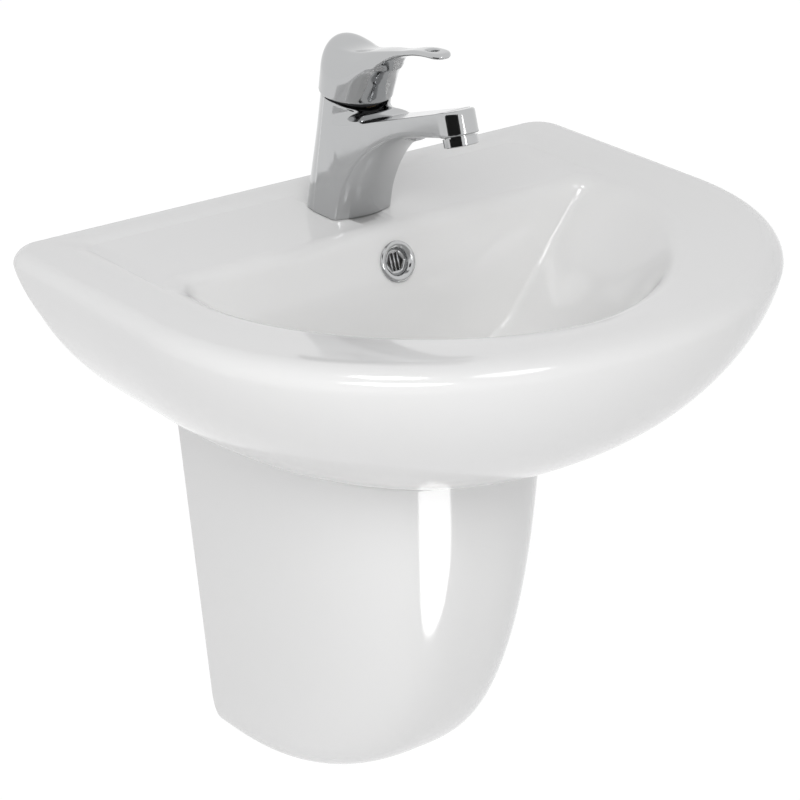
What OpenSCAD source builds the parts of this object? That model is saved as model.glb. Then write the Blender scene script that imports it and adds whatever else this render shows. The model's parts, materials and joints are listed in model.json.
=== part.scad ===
// Wall-hung washbasin with a half pedestal, a single-lever mixer, a click waste and a bottle trap.
// Frame: the wall is the plane Y = 0 and the front looks along -Y. +Z is up. The origin lies midway
// between the two wall bolts of the basin. Functions and modules call the distance from the wall "out".

/* [Basin] */
// Overall width
basin_w = 494; // [460:2:540]
// Depth, from the wall to the front edge
basin_d = 392; // [370:2:420]
// Height of the rim's crest above the wall bolts
rim_z = 70; // [60:1:80]
// Height of the rolled edge, from its crest down to the widest line
roll_h = 22; // [16:1:26]
// How far the crest lies inside the widest line
roll_in = 15; // [10:1:20]
// Height from the widest line to where the belly would close
belly_h = 190; // [180:2:210]
// Height of the basin, from its crest to its lower lip
basin_h = 160; // [156:1:164]
// Radius of the back corners in plan
back_corner_r = 18; // [12:1:24]
// Depth of the tap deck below the crest
deck_drop = 4; // [3:0.5:6]
// Thickness of the casting
ceramic_t = 12; // [10:0.5:13]
// Width of the flat strip between the wall and the deck
back_strip = 22; // [18:1:28]
// Width of the rim at the sides
rim_side = 56; // [50:1:60]
// Width of the rim at the front
rim_front = 42; // [36:1:50]

/* [Bowl] */
// Distance from the wall to the back edge of the bowl
bowl_back = 112; // [106:1:116]
// Depth of the bowl below the deck
bowl_h = 124; // [118:1:126]
// Radius of the edge where the deck turns into the bowl
bowl_lip_r = 8; // [5:1:10]
// Radius of the bowl's back corners in plan
bowl_corner_r = 30; // [24:1:36]
// Radius of the flat round the waste hole
bowl_flat_r = 33; // [31:0.5:34]

/* [Half pedestal] */
// Width at the top
ped_w = 224; // [210:2:226]
// Width at the lower end, before the corners are rounded
ped_low_w = 174; // [160:2:190]
// Height
ped_h = 274; // [260:2:300]
// Depth, from the wall to the front of its top
ped_d = 228; // [224:1:232]
// Distance from the front of its top back to the axis of the waste and the trap
trap_room = 56; // [52:1:60]
// Radius of the lower corners
ped_corner_r = 36; // [24:2:40]
// Thickness of the casting
ped_t = 9; // [8:0.5:10]
// Joint between the basin and the half pedestal
ped_joint = 0.3; // [0.2:0.1:0.6]

/* [Tap] */
// Distance from the wall to the tap hole
tap_out = 60; // [58:1:62]
// Radius of the tap hole
tap_hole_r = 17.5; // [16.5:0.5:18]
// Width of the foot
foot_w = 50; // [48:1:52]
// Depth of the foot
foot_d = 46; // [44:1:48]
// Forward lean of the cartridge axis, in degrees
lean = 9; // [6:1:10]
// Height of the body along the leaning axis
seam_h = 88; // [86:1:94]
// Radius of the body's top
top_r = 24.5; // [24.2:0.1:24.8]
// Rise of the spout, in degrees
spout_rise = 18; // [15:1:20]
// Length of the spout's flat top
spout_l = 94; // [84:1:104]
// Radius of the spout's round end
spout_r = 13; // [12.5:0.25:14]
// Height of the spout's round end
spout_h = 17; // [16:0.5:19]

/* [Lever] */
// Outer radius of the skirt
skirt_r = 26.2; // [26.2:0.1:27]
// Wall of the skirt
skirt_t = 2.4; // [2:0.1:2.4]
// Height of the dome above the seam
dome_h = 39; // [36:1:42]
// Length of the arm beyond the neck
arm_l = 69.5; // [62:0.5:80]
// Thickness of the arm
arm_t = 3.2; // [2.8:0.2:4]
// Rise of the arm from the seam's plane, in degrees
arm_rise = 22; // [18:1:26]
// Lift of the lever from closed to full flow, in degrees
lift = 25; // [15:1:25]

/* [Fixings] */
// Distance between the wall bolts of the basin
bolt_spacing = 280; // [240:10:300]
// Radius of the bolt holes in the basin
bolt_hole_r = 7.5; // [7:0.25:9]
// Distance between the wall studs of the half pedestal
ped_stud_spacing = 110; // [96:2:116]
// Height of those studs below the basin's lip
ped_stud_drop = 120; // [110:5:130]
// Length of a wall bolt in front of the wall
bolt_out = 46; // [40:1:52]

/* [Hidden] */
$fn = 48;

glaze = "white";
metal = "silver";
steel = "lightgray";
rubber = "dimgray";
plastic = "whitesmoke";

// Clearances
slip = 0.1;
seat = 0.3;
run_gap = 0.05;

// Levels, and how much thicker the casting is under its floor and under the deck
floor_extra = 1;
roof_extra = 2;
deck_z = rim_z - deck_drop;
floor_z = deck_z - bowl_h;
under_z = floor_z - ceramic_t - floor_extra;
lip_z = rim_z - basin_h;
roof_z = deck_z - ceramic_t - roof_extra;
waste_out = ped_d - trap_room;
// How far a cut passes the faces it cuts, and the length of a cut through a whole wall
over = 1;
through = 40;

// ---------- D-shaped outlines and lofts ----------
n_back = 3;
n_corner = 4;
n_side = 4;
n_front = 12;

// An outline is [half width, out of its back, out of its front, end of its straight sides,
// power of its front curve, radius of its back corners].
function outline(d) = let(
    w = d[0], back = d[1], front = d[2], r = min(d[5], d[0] * 0.98),
    sides = max(d[3], back + r + 1), curve = 2 / d[4],
    right = concat(
        [for (i = [0:n_back - 1]) [(w - r) * i / n_back, back]],
        [for (i = [0:n_corner - 1]) [w - r + r * sin(90 * i / n_corner),
            back + r * (1 - cos(90 * i / n_corner))]],
        [for (i = [0:n_side - 1]) [w, back + r + (sides - back - r) * i / n_side]],
        [for (i = [0:n_front]) [w * pow(cos(90 * i / n_front), curve),
            sides + (front - sides) * pow(sin(90 * i / n_front), curve)]]))
    concat(right, [for (i = [len(right) - 2:-1:1]) [-right[i][0], right[i][1]]]);

function at_level(points, z) = [for (p = points) [p[0], -p[1], z]];
function blend(a, b, k) = a + (b - a) * k;
function grow(d, g) = [d[0] + g, d[1] - g, d[2] + g, d[3], d[4], max(d[5] + g, 1)];
function fall(u, power) = pow(1 - pow(u, power), 1 / power);

// Skin of rings: each ring is joined to the next, and the first and last are closed.
module loft(rings) {
    n = len(rings[0]);
    last = len(rings) - 1;
    sides = [for (k = [0:last - 1]) for (i = [0:n - 1]) let(j = (i + 1) % n)
        for (f = [[k * n + i, (k + 1) * n + j, k * n + j], [k * n + i, (k + 1) * n + i, (k + 1) * n + j]]) f];
    first_cap = [for (i = [0:n - 1]) (i + n / 2) % n];
    last_cap = [for (i = [n:-1:1]) last * n + (i + n / 2) % n];
    polyhedron([for (ring = rings) for (p = ring) p], concat(sides, [first_cap, last_cap]), convexity = 12);
}

// ---------- Basin ----------
belly_power_w = 1.37;
belly_power_d = 1.73;
belly_foot_out = 14;
belly_sides = 176;
belly_foot_sides = 54;
belly_corner_r = 35;
front_power = 2.1;

// Outer outline of the belly at the fraction u of belly_h below the widest line
function belly(u) = [basin_w / 2 * fall(u, belly_power_w), 0,
    belly_foot_out + (basin_d - belly_foot_out) * fall(u, belly_power_d),
    blend(belly_sides, belly_foot_sides, u), front_power,
    blend(back_corner_r, belly_corner_r, min(1, u * 5))];
function belly_z(u) = rim_z - roll_h - belly_h * u;
belly_end = (basin_h - roll_h) / belly_h;

// Outline of the bowl's edge and of the flat round the waste, and what lies between
bowl_sides = 190;
bowl_power = 2.05;
bowl_edge = [basin_w / 2 - rim_side - bowl_lip_r, bowl_back, basin_d - rim_front - bowl_lip_r, bowl_sides,
    bowl_power, bowl_corner_r];
bowl_flat = [bowl_flat_r, waste_out - bowl_flat_r, waste_out + bowl_flat_r, waste_out, 2, bowl_flat_r];
bowl_valley = 115;
bowl_power_w = 1.08;
bowl_power_front = 1.6;
bowl_power_back = 1.1;
function bowl(s) = let(
    c = fall(s, bowl_power_w), cf = fall(s, bowl_power_front), cb = fall(s, bowl_power_back)) [
    blend(bowl_flat[0], bowl_edge[0], c), blend(bowl_flat[1], bowl_edge[1], cb),
    blend(bowl_flat[2], bowl_edge[2], cf), blend(bowl_flat[3], bowl_edge[3], c),
    blend(bowl_flat[4], bowl_edge[4], c), blend(bowl_flat[5], bowl_edge[5], c) + bowl_valley * c * (1 - c)];
bowl_top_z = deck_z - bowl_lip_r;
function bowl_z(s) = bowl_top_z - (bowl_top_z - floor_z) * s;

// Foot of the rim's inner slope, which is also the edge of the deck, and the outline of the crest
rim_foot = 1;
deck_sides = 185;
deck_corner_r = 12;
back_in = 1;
crest_corner = 4;
root_in = 4;
deck_edge = [basin_w / 2 - rim_side + rim_foot, back_strip, basin_d - rim_front + rim_foot, deck_sides,
    bowl_power, deck_corner_r];
crest = [basin_w / 2 - roll_in, back_in, basin_d - roll_in, belly_sides, front_power,
    back_corner_r - crest_corner];
function rim_top(k) = [for (i = [0:5]) blend(deck_edge[i], crest[i], k)];

bowl_steps = 13;
belly_steps = 12;
lip_steps = 3;
roll_steps = 4;

module basin_casting() {
    loft(concat(
        // the bowl, from its flat floor to its edge
        [for (i = [bowl_steps:-1:0]) let(s = sin(90 * i / bowl_steps)) at_level(outline(bowl(s)), bowl_z(s))],
        // the rounded edge between bowl and deck
        [for (i = [1:lip_steps]) let(a = 90 * i / lip_steps)
            at_level(outline(grow(bowl_edge, bowl_lip_r * (1 - cos(a)))),
                deck_z - bowl_lip_r * (1 - sin(a)))],
        // the deck and the crowned top of the rim
        [for (k = [0, 0.1, 0.25, 0.5, 1]) at_level(outline(rim_top(k)), rim_z - deck_drop * pow(1 - k, 4))],
        // the rolled edge
        [for (i = [1:roll_steps]) let(a = 90 * i / roll_steps, in = roll_in * (1 - sin(a)))
            at_level(outline([basin_w / 2 - in, back_in * (1 - sin(a)), basin_d - in, belly_sides,
                front_power,
                back_corner_r - in / 4]), rim_z - roll_h * (1 - cos(a)))],
        // the belly down to the lower lip
        [for (i = [1:belly_steps]) let(u = belly_end * i / belly_steps) at_level(outline(belly(u)),
            belly_z(u))],
        // inside of the belly, up to the roof under the deck
        [for (i = [belly_steps:-1:1]) let(u = belly_end * i / belly_steps)
            at_level(outline(grow(belly(u), -ceramic_t)), belly_z(u))],
        [at_level(outline(grow(belly(0), -ceramic_t - root_in)), roof_z)],
        // underside of the bowl, down to the flat under the waste
        [at_level(outline(grow(bowl_edge, ceramic_t + root_in)), roof_z)],
        [for (i = [2:2:bowl_steps - 1]) let(s = sin(90 * i / bowl_steps))
            at_level(outline(grow(bowl(s), ceramic_t)), bowl_z(s) - ceramic_t * s)],
        [at_level(outline(grow(bowl_flat, ceramic_t)), under_z)]));
}

// Overflow: a round opening square to the bowl's back wall
overflow_drop = 28;
overflow_r = 11;
// How far out of the wall the back of the bowl lies at a level
function bowl_back_at(z) = bowl((bowl_top_z - z) / (bowl_top_z - floor_z))[1];
overflow_z = deck_z - overflow_drop;
overflow_flange_r = 15;
overflow_out = bowl_back_at(overflow_z);
overflow_tilt = atan2(bowl_back_at(overflow_z - overflow_flange_r)
    - bowl_back_at(overflow_z + overflow_flange_r),
    2 * overflow_flange_r);
module at_overflow() translate([0, -overflow_out, overflow_z]) rotate([90 - overflow_tilt, 0, 0]) children();

waste_hole_r = 22.5;
module bolt_pair(spacing) for (side = [-1, 1]) translate([side * spacing / 2, 0, 0]) children();
// Things turned to point out of the wall
module out_of_wall(out) translate([0, -out, 0]) rotate([90, 0, 0]) children();

module basin() color(glaze) difference() {
    basin_casting();
    translate([0, -tap_out, deck_z - through / 2]) cylinder(r = tap_hole_r, h = through);
    translate([0, -waste_out, floor_z - through / 2]) cylinder(r = waste_hole_r, h = through);
    at_overflow() translate([0, 0, -through / 2]) cylinder(r = overflow_r, h = through);
    bolt_pair(bolt_spacing) out_of_wall(-through / 2) cylinder(r = bolt_hole_r, h = through);
}

overflow_sleeve = 9;
overflow_bore_r = 8;
overflow_lift = 0.6;
overflow_top = 2.6;
module overflow_ring() color(metal) at_overflow() rotate_extrude() polygon([
    [overflow_bore_r, -overflow_sleeve], [overflow_r - seat, -overflow_sleeve],
    [overflow_r - seat, overflow_lift], [overflow_flange_r, overflow_lift],
    [overflow_flange_r, overflow_lift + 1], [overflow_flange_r - 1.5, overflow_top],
    [overflow_bore_r + 1.5, overflow_top], [overflow_bore_r, overflow_top - 1.4]]);

// ---------- Half pedestal ----------
ped_top_z = lip_z - ped_joint;
ped_power_d = 2.4;
ped_foot_out = 94;
ped_sides = 130;
ped_front_power = 1.9;
ped_levels = 20;
ped_back_r = 4;
lug_t = 10;
lug_in_w = 12;
lug_h = 30;
stud_r = 4;
lug_hole_r = 5;

// Outline at the fraction u of the height, drawn in by g
function ped(u, g) = let(
    low = max(0, 1 - (1 - u) * ped_h / ped_corner_r),
    tuck = 0.8 * ped_corner_r * (1 - sqrt(1 - low * low)),
    front = ped_foot_out + (ped_d - ped_foot_out) * fall(min(u, 0.998), ped_power_d) - g)
    [blend(ped_w, ped_low_w, u) / 2 - tuck - g, 0, front, min(ped_sides, front * 0.6), ped_front_power,
        ped_back_r];
// A lug runs from beside its stud to the middle of the shell's wall
lug_in = ped_stud_spacing / 2 - lug_in_w;
lug_out = ped((ped_stud_drop + lug_h) / ped_h, ped_t / 2)[0];
// Levels crowd together where the lower end closes
function ped_level(j) = let(s = j / ped_levels, k = 0.75) s < k ? s * 1.1 : 1 - (1 - k * 1.1)
    * pow((1 - s) / (1 - k), 1.7);
// The open path of an outline, from the wall on one side round the front to the wall on the other
function open_path(d, z) = let(all = outline(d), n = len(all))
    [for (i = [n_back:n - n_back]) [all[i][0], -all[i][1], z]];

// Open shell: an outer and an inner skin of levels, joined along the top, at the wall and across the bottom
module half_shell(outer, inner) {
    m = len(outer[0]);
    levels = len(outer);
    inside = m * levels;
    low = inside - m;
    function quad(a, b, c, d) = [[a, b, c], [a, c, d]];
    outer_skin = [for (j = [0:levels - 2]) for (i = [0:m - 2]) let(a = j * m + i)
        for (f = quad(a, a + m, a + m + 1, a + 1)) f];
    inner_skin = [for (f = outer_skin) [inside + f[2], inside + f[1], inside + f[0]]];
    top = [for (i = [0:m - 2]) for (f = quad(i, i + 1, inside + i + 1, inside + i)) f];
    right_edge = [for (j = [0:levels - 2]) let(a = j * m)
        for (f = quad(a + m, a, inside + a, inside + a + m)) f];
    left_edge = [for (j = [0:levels - 2]) let(a = j * m + m - 1)
        for (f = quad(a, a + m, inside + a + m, inside + a)) f];
    sill = quad(low + m - 1, low, inside + low, inside + low + m - 1);
    caps = [[for (i = [m - 1:-1:0]) low + i], [for (i = [0:m - 1]) inside + low + i]];
    polyhedron([for (ring = concat(outer, inner)) for (p = ring) p],
        concat(outer_skin, inner_skin, top, right_edge, left_edge, sill, caps), convexity = 8);
}

module half_pedestal() color(glaze) difference() {
    union() {
        half_shell(
            [for (j = [0:ped_levels]) let(u = ped_level(j)) open_path(ped(u, 0), ped_top_z - ped_h * u)],
            [for (j = [0:ped_levels]) let(u = ped_level(j)) open_path(ped(u * (1 - ped_t / ped_h), ped_t),
                ped_top_z - (ped_h - ped_t) * u)]);
        // lugs for the wall studs, from the shell's wall inwards
        for (side = [-1, 1]) translate([side * (lug_in + lug_out) / 2, -lug_t / 2 - ped_back_r,
            lip_z - ped_stud_drop])
            cube([lug_out - lug_in, lug_t, lug_h], center = true);
    }
    translate([0, 0, lip_z - ped_stud_drop]) bolt_pair(ped_stud_spacing) out_of_wall(-through / 4)
        cylinder(r = lug_hole_r, h = through);
}

// ---------- Tap ----------
gasket_t = 1.5;
foot_lift = 0.3;
foot_wall = 2.5;
foot_t = 3.2;
foot_front = 24;
foot_back_r = 20;
foot_front_r = 4;
axis_out = 2.4;
arch_r = 97;
arch_up = -18;
bevel = 40;
bevel_up = 75;
bevel_side = 6;
tip_flat = 0.64;
housing_r = 17.5;
nut_bore_r = 20.5;
cartridge_h = 36;
nut_h = 8;
base_h = 4;
port_h = 1.4;
floor_w = seam_h - nut_h - 2 - cartridge_h - base_h - port_h;
inlet_r = 4.5;
inlet_thread_l = 16;
inlet_side = 7.5;
inlet_fore = 4;
passage_r = 2.6;
passage_fore = 21.5;
passage_up = 33;
port_r = 3.2;
port_places = [[-6.5, 3.5], [6.5, 3.5], [0, -7.5]];
waterway_r = 4.5;
waterway_drop = 9;
waterway_in = 10.5;
aerator_bore_r = 10.6;
aerator_bore_h = 9;

module on_deck() translate([0, -tap_out, deck_z]) children();
// Leaning frame of the mixer, with its origin where the axis meets the foot
module on_axis(h = 0) on_deck() translate([0, -axis_out, gasket_t]) rotate([lean, 0, 0])
    translate([0, 0, h]) children();
// Frame of the spout: its flat top is the plane z = 0
module on_spout(l = 0) on_axis(seam_h - 10.5) translate([0, -top_r - 1.3, 0])
    rotate([-lean - spout_rise, 0, 0])
    translate([0, -l, 0]) children();

// Corners of the foot, drawn in by "in"
module foot(front_only = false, in = 0) {
    for (side = [-1, 1]) translate([side * (foot_w / 2 - foot_front_r), -foot_front + foot_front_r, 0])
        cylinder(r = foot_front_r - in, h = foot_t, $fn = 24);
    if (!front_only) for (side = [-1, 1]) translate([side * (foot_w / 2 - foot_back_r),
        foot_d - foot_front - foot_back_r, 0])
        cylinder(r = foot_back_r - in, h = foot_t, $fn = 40);
}
module arch() translate([0, -foot_front - sqrt(arch_r * arch_r - arch_up * arch_up), arch_up])
    rotate([0, 90, 0])
    cylinder(r = arch_r, h = 3 * foot_w, center = true, $fn = 96);

spout_root = 22;
spout_root_r = 20;
spout_root_h = 4;
rim_from = 8;
rim_fall = 7.4;
module tap_body() color(metal) difference() {
    union() {
        hull() {
            on_deck() translate([0, 0, foot_lift]) foot();
            on_axis(seam_h - 2) cylinder(r = top_r, h = 2, $fn = 40);
        }
        hull() {
            on_deck() translate([0, 0, foot_lift]) foot(true);
            on_spout(-spout_root) translate([0, 0, -spout_root_h])
                cylinder(r = spout_root_r, h = spout_root_h, $fn = 32);
            on_spout(spout_l) translate([0, 0, -spout_h]) cylinder(r = spout_r, h = spout_h, $fn = 32);
        }
    }
    on_deck() arch();
    // flat underside of the tip
    on_spout(spout_l * tip_flat) translate([-foot_w, -2 * spout_l, -spout_h - foot_w])
        cube([2 * foot_w, 2 * spout_l, foot_w]);
    // bevels of the spout's lower edges, which run out towards the foot
    for (side = [-1, 1]) on_deck() translate([side * bevel_side, -6, bevel_up]) rotate([0, -side * bevel, 0])
        translate([0, 0, -bevel_up]) arch();
    // recess for the gasket
    on_deck() translate([0, 0, gasket_t - foot_t]) hull() foot(in = foot_wall);
    // the rim falls away towards the front
    on_axis(seam_h) translate([-foot_w, -rim_from, 0]) rotate([rim_fall, 0, 0])
        translate([0, -top_r, 0])
        cube([2 * foot_w, top_r, foot_w]);
    on_axis(floor_w) cylinder(r = housing_r + slip, h = seam_h);
    on_axis(seam_h - nut_h - 2) cylinder(r = nut_bore_r, h = 2 * nut_h);
    on_spout(spout_l) translate([0, 0, -spout_h - over])
        cylinder(r = aerator_bore_r, h = aerator_bore_h + over);
    // way of the mixed water: down from its port, forward under the floor,
    // up in the front wall and into the spout
    on_axis(floor_w - 2 * passage_r) at_port(2) cylinder(r = passage_r, h = 2 * passage_r + over);
    on_axis(floor_w - 1.5 * passage_r) at_port(2) rotate([90, 0, 0])
        cylinder(r = passage_r, h = passage_fore + port_places[2][1]);
    on_axis(floor_w - 1.5 * passage_r) translate([0, -passage_fore, 0])
        cylinder(r = passage_r, h = passage_up);
    on_spout(spout_l) translate([0, 0, -waterway_drop]) rotate([-90, 0, 0])
        cylinder(r = waterway_r, h = spout_l + waterway_in);
    // threaded inlets, and a narrower way on to their ports
    on_deck() for (side = [-1, 1]) translate([side * inlet_side, -inlet_fore, gasket_t]) {
        translate([0, 0, -over]) cylinder(r = inlet_r, h = inlet_thread_l + over);
        cylinder(r = port_r, h = floor_w + over);
    }
    on_deck() translate([0, stud_back, 0]) cylinder(r = stud_r + slip / 2, h = stud_in);
}

aerator_r = 12.1;
aerator_h = 6.5;
aerator_in = 6;
insert_r = 9;
insert_h = 8;
jet_r = 1.6;
module aerator_housing() color(metal) on_spout(spout_l) translate([0, 0, -spout_h]) rotate_extrude() polygon([
    [insert_r, -aerator_h], [aerator_r - 0.5, -aerator_h], [aerator_r, -aerator_h + 0.5],
    [aerator_r, -2 * slip], [aerator_bore_r - slip, -2 * slip], [aerator_bore_r - slip, aerator_in],
    [insert_r, aerator_in], [insert_r, 2.5 - aerator_h], [insert_r - 1, 2.5 - aerator_h],
    [insert_r - 1, 1 - aerator_h], [insert_r, 1 - aerator_h]]);
module aerator_insert() color(plastic) on_spout(spout_l)
    translate([0, 0, -spout_h - aerator_h + 2.5 + slip]) difference() {
    cylinder(r = insert_r - slip, h = insert_h);
    for (a = [0:60:300]) rotate([0, 0, a]) translate([insert_r - 4, 0, -over])
        cylinder(r = jet_r, h = insert_h + 2 * over, $fn = 16);
    translate([0, 0, -over]) cylinder(r = jet_r, h = insert_h + 2 * over, $fn = 16);
}
module aerator_seal() color(rubber) on_spout(spout_l) translate([0, 0, -spout_h + aerator_in + slip])
    ring(aerator_bore_r - slip, insert_r - 2, 2);

// ---------- Cartridge ----------
stack_w = floor_w + port_h;
disc_z = stack_w + base_h;
pivot_w = seam_h - 22;
ball_arm = 13;
ball_r = 3.6;
stem_a = 8;
stem_top = 24;
cavity_r = housing_r - 1.9;
lip_hole_r = 13.5;
fixed_disc_h = 4.5;
moving_disc_h = 7;
moving_disc_r = 9.4;
slider_z = disc_z + fixed_disc_h + slip;
carrier_z = slider_z + moving_disc_h + slip;
carrier_top = disc_z + cartridge_h - 3 - slip;
pin_r = 2;
cover_h = 1.2;
cover_in = 1.7;
stem_play = 0.4;
ball_play = 0.25;
ball_deep = 5.4;
arm_r = 2.6;
// Half length of the carrier's slot: at full lift the stem and its ball stay clear of its ends
stem_reach = (carrier_top - pivot_w) * tan(lift) + stem_a / 2 / cos(lift);
ball_reach = ball_arm * sin(lift) + ball_r;
slot_reach = max(stem_reach, ball_reach) + stem_play;
// Bores that the stem swings in: its far corner at full lift, and room round it
function swing_r(h) = norm([stem_a / 2, h * tan(lift) + stem_a / 2 / cos(lift)]) + stem_play;
nut_top_w = disc_z + cartridge_h + slip + nut_h;

module at_port(i) translate([port_places[i][0], port_places[i][1], 0]) children();
module at_ports() for (i = [0:2]) at_port(i) children();

module port_seals() color(rubber) on_axis(floor_w) at_ports() ring(port_r + 1.8, port_r + 0.4, port_h);
module cartridge_base() color(plastic) on_axis(stack_w) difference() {
    cylinder(r = housing_r, h = base_h);
    translate([0, 0, -over]) at_ports() cylinder(r = port_r, h = base_h + 2 * over, $fn = 32);
}
module fixed_disc() color("ivory") on_axis(disc_z) difference() {
    cylinder(r = cavity_r - slip, h = fixed_disc_h);
    translate([0, 0, -over]) at_ports() cylinder(r = port_r - 0.2, h = fixed_disc_h + 2 * over, $fn = 32);
}
module moving_disc() color("gray") on_axis(slider_z) difference() {
    cylinder(r = moving_disc_r, h = moving_disc_h);
    translate([0, 0, moving_disc_h - ball_deep]) cylinder(r = ball_r + ball_play, h = ball_deep + over);
}
module cartridge_housing() color(plastic) on_axis(disc_z) difference() {
    cylinder(r = housing_r, h = cartridge_h);
    translate([0, 0, -over]) cylinder(r = cavity_r, h = cartridge_h - 3 + over);
    cylinder(r = lip_hole_r, h = cartridge_h + over);
}
module stem_carrier() color("gainsboro") on_axis() difference() {
    translate([0, 0, carrier_z]) cylinder(r = cavity_r - run_gap, h = carrier_top - carrier_z);
    translate([0, 0, (carrier_z + carrier_top) / 2])
        cube([stem_a + 2 * stem_play, 2 * slot_reach, through], center = true);
    translate([0, 0, pivot_w]) rotate([0, 90, 0])
        cylinder(r = pin_r + run_gap / 2, h = through, center = true);
}
module stem_pin() color(steel) on_axis(pivot_w) rotate([0, 90, 0])
    cylinder(r = pin_r, h = 2 * (cavity_r - pin_r), center = true);
module lever_stem() color(steel) on_axis(pivot_w) difference() {
    union() {
        translate([-stem_a / 2, -stem_a / 2, 0]) cube([stem_a, stem_a, seam_h - pivot_w + stem_top]);
        rotate([0, 90, 0]) cylinder(r = stem_a / 2, h = stem_a, center = true);
        translate([0, 0, -ball_arm]) cylinder(r = arm_r, h = ball_arm);
        translate([0, 0, -ball_arm]) sphere(r = ball_r);
    }
    rotate([0, 90, 0]) cylinder(r = pin_r + run_gap, h = through, center = true);
}
module cartridge_nut() color("goldenrod") on_axis(nut_top_w - nut_h)
    ring(nut_bore_r - slip, swing_r(nut_top_w - pivot_w), nut_h);
module cover_ring() color("black") on_axis(seam_h) rotate_extrude()
    let(in = swing_r(seam_h + cover_h - pivot_w)) polygon([
    [in, -cover_in], [nut_bore_r - slip, -cover_in], [nut_bore_r - slip, slip],
    [top_r - 1.5, slip], [top_r - 1.5, cover_h], [in, cover_h]]);

// ---------- Lever ----------
skirt_gap = 1.25;
neck_out = 27;
neck_h = 44;
arm_tip_r = 9;
arm_mid_r = 7.5;
arm_root_r = 13;
hole_r = 4;
boss_h = 11;
boss_r = 8.6;
crown_t = 9;
dome_r = 21;
dome_back = 4.5;
neck_r = 6;
skirt_low = 14;
skirt_slant = 4.6;
skirt_slant_from = 2;
screw_h = 18;
screw_r = 3;
screw_l = 6;
hole_back = 15;
hole_long = 3;

module on_seam() on_axis(seam_h) children();
module arm_disc(l, r) translate([0, -l, -arm_t]) cylinder(r = r, h = arm_t, $fn = 32);
module lever_handle() color(metal) on_seam() difference() {
    union() {
        difference() {
            hull() {
                translate([0, 0, skirt_gap]) cylinder(r = skirt_r, h = skirt_low, $fn = 64);
                translate([0, dome_back, dome_h - dome_r]) sphere(r = dome_r, $fn = 32);
                translate([0, neck_r - over - neck_out, neck_h - neck_r - over]) sphere(r = neck_r, $fn = 24);
            }
            rotate_extrude() polygon([[0, -skirt_r], [2 * skirt_r, -skirt_r], [2 * skirt_r, skirt_gap],
                [skirt_r - skirt_t, skirt_gap], [skirt_r - skirt_t, boss_h + 1], [boss_r + 6.4,
                    dome_h - crown_t - 3],
                [0, dome_h - crown_t]]);
            // the lower edge slants up towards the front
            translate([0, skirt_slant_from, skirt_gap]) rotate([-skirt_slant, 0, 0])
                translate([-foot_w, -2 * foot_w, -foot_w])
                cube([2 * foot_w, 2 * foot_w, foot_w]);
        }
        translate([0, 0, boss_h]) cylinder(r = boss_r, h = dome_h - crown_t - boss_h);
        translate([0, -neck_out, neck_h]) rotate([-arm_rise, 0, 0]) {
            hull() {
                arm_disc(-12, arm_root_r);
                arm_disc(arm_l * 0.35, arm_mid_r);
            }
            hull() {
                arm_disc(arm_l * 0.35, arm_mid_r);
                arm_disc(arm_l - arm_tip_r + 2, arm_tip_r);
            }
        }
    }
    translate([-stem_a / 2 - slip / 2, -stem_a / 2 - slip / 2, 0])
        cube([stem_a + slip, stem_a + slip, stem_top + slip]);
    translate([0, 0, screw_h]) rotate([-90, 0, 0]) cylinder(r = screw_r + run_gap, h = foot_w);
    // oval hole near the tip
    translate([0, -neck_out, neck_h]) rotate([-arm_rise, 0, 0]) hull() for (l = [0, hole_long])
        translate([0, hole_back - arm_l - l, -2 * arm_t]) cylinder(r = hole_r, h = 3 * arm_t, $fn = 24);
}
module grub_screw() color(steel) on_seam() translate([0, stem_a / 2 + slip, screw_h]) rotate([-90, 0, 0])
    difference() {
    cylinder(r = screw_r, h = screw_l);
    translate([0, 0, screw_l / 2]) cylinder(r = screw_r / 2, h = screw_l, $fn = 6);
}
module index_plug() color(metal) on_seam() intersection() {
    translate([0, 0, screw_h]) rotate([-90, 0, 0]) translate([0, 0, stem_a + boss_r])
        cylinder(r = screw_r, h = dome_r);
    translate([0, dome_back, dome_h - dome_r]) sphere(r = dome_r, $fn = 64);
}

// ---------- Fixing of the tap ----------
stud_back = 10;
stud_l = 70;
stud_in = 20;
horseshoe_r = 24;
horseshoe_t = 3;
horseshoe_mouth = 13;
tap_nut_r = 7.5;
tap_nut_h = 7;
module horseshoe(t) difference() {
    cylinder(r = horseshoe_r, h = t);
    translate([-horseshoe_mouth, 2 * over - 2 * horseshoe_r, -over])
        cube([2 * horseshoe_mouth, 2 * horseshoe_r, t + 2 * over]);
    translate([0, stud_back, -over]) cylinder(r = stud_r + 2 * slip, h = t + 2 * over);
}
module under_deck(d) translate([0, -tap_out, roof_z - d]) children();

module foot_gasket() color(rubber) on_deck() difference() {
    hull() foot(in = foot_wall + seat);
    translate([0, 0, gasket_t]) cylinder(r = foot_w, h = foot_t);
    translate([0, 0, -over]) cylinder(r = tap_hole_r - 1.5, h = foot_t + 2 * over);
}
module fixing_stud() color(steel) on_deck() translate([0, stud_back, stud_in - 2 - stud_l])
    cylinder(r = stud_r, h = stud_l);
module horseshoe_gasket() color(rubber) under_deck(horseshoe_t) horseshoe(horseshoe_t);
module horseshoe_plate() color(steel) under_deck(2 * horseshoe_t) horseshoe(horseshoe_t);
module tap_nut() color("goldenrod") under_deck(2 * horseshoe_t + tap_nut_h) translate([0, stud_back, 0])
    difference() {
    cylinder(r = tap_nut_r, h = tap_nut_h, $fn = 6);
    translate([0, 0, -over]) cylinder(r = stud_r + run_gap, h = tap_nut_h + 2 * over);
}

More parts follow.
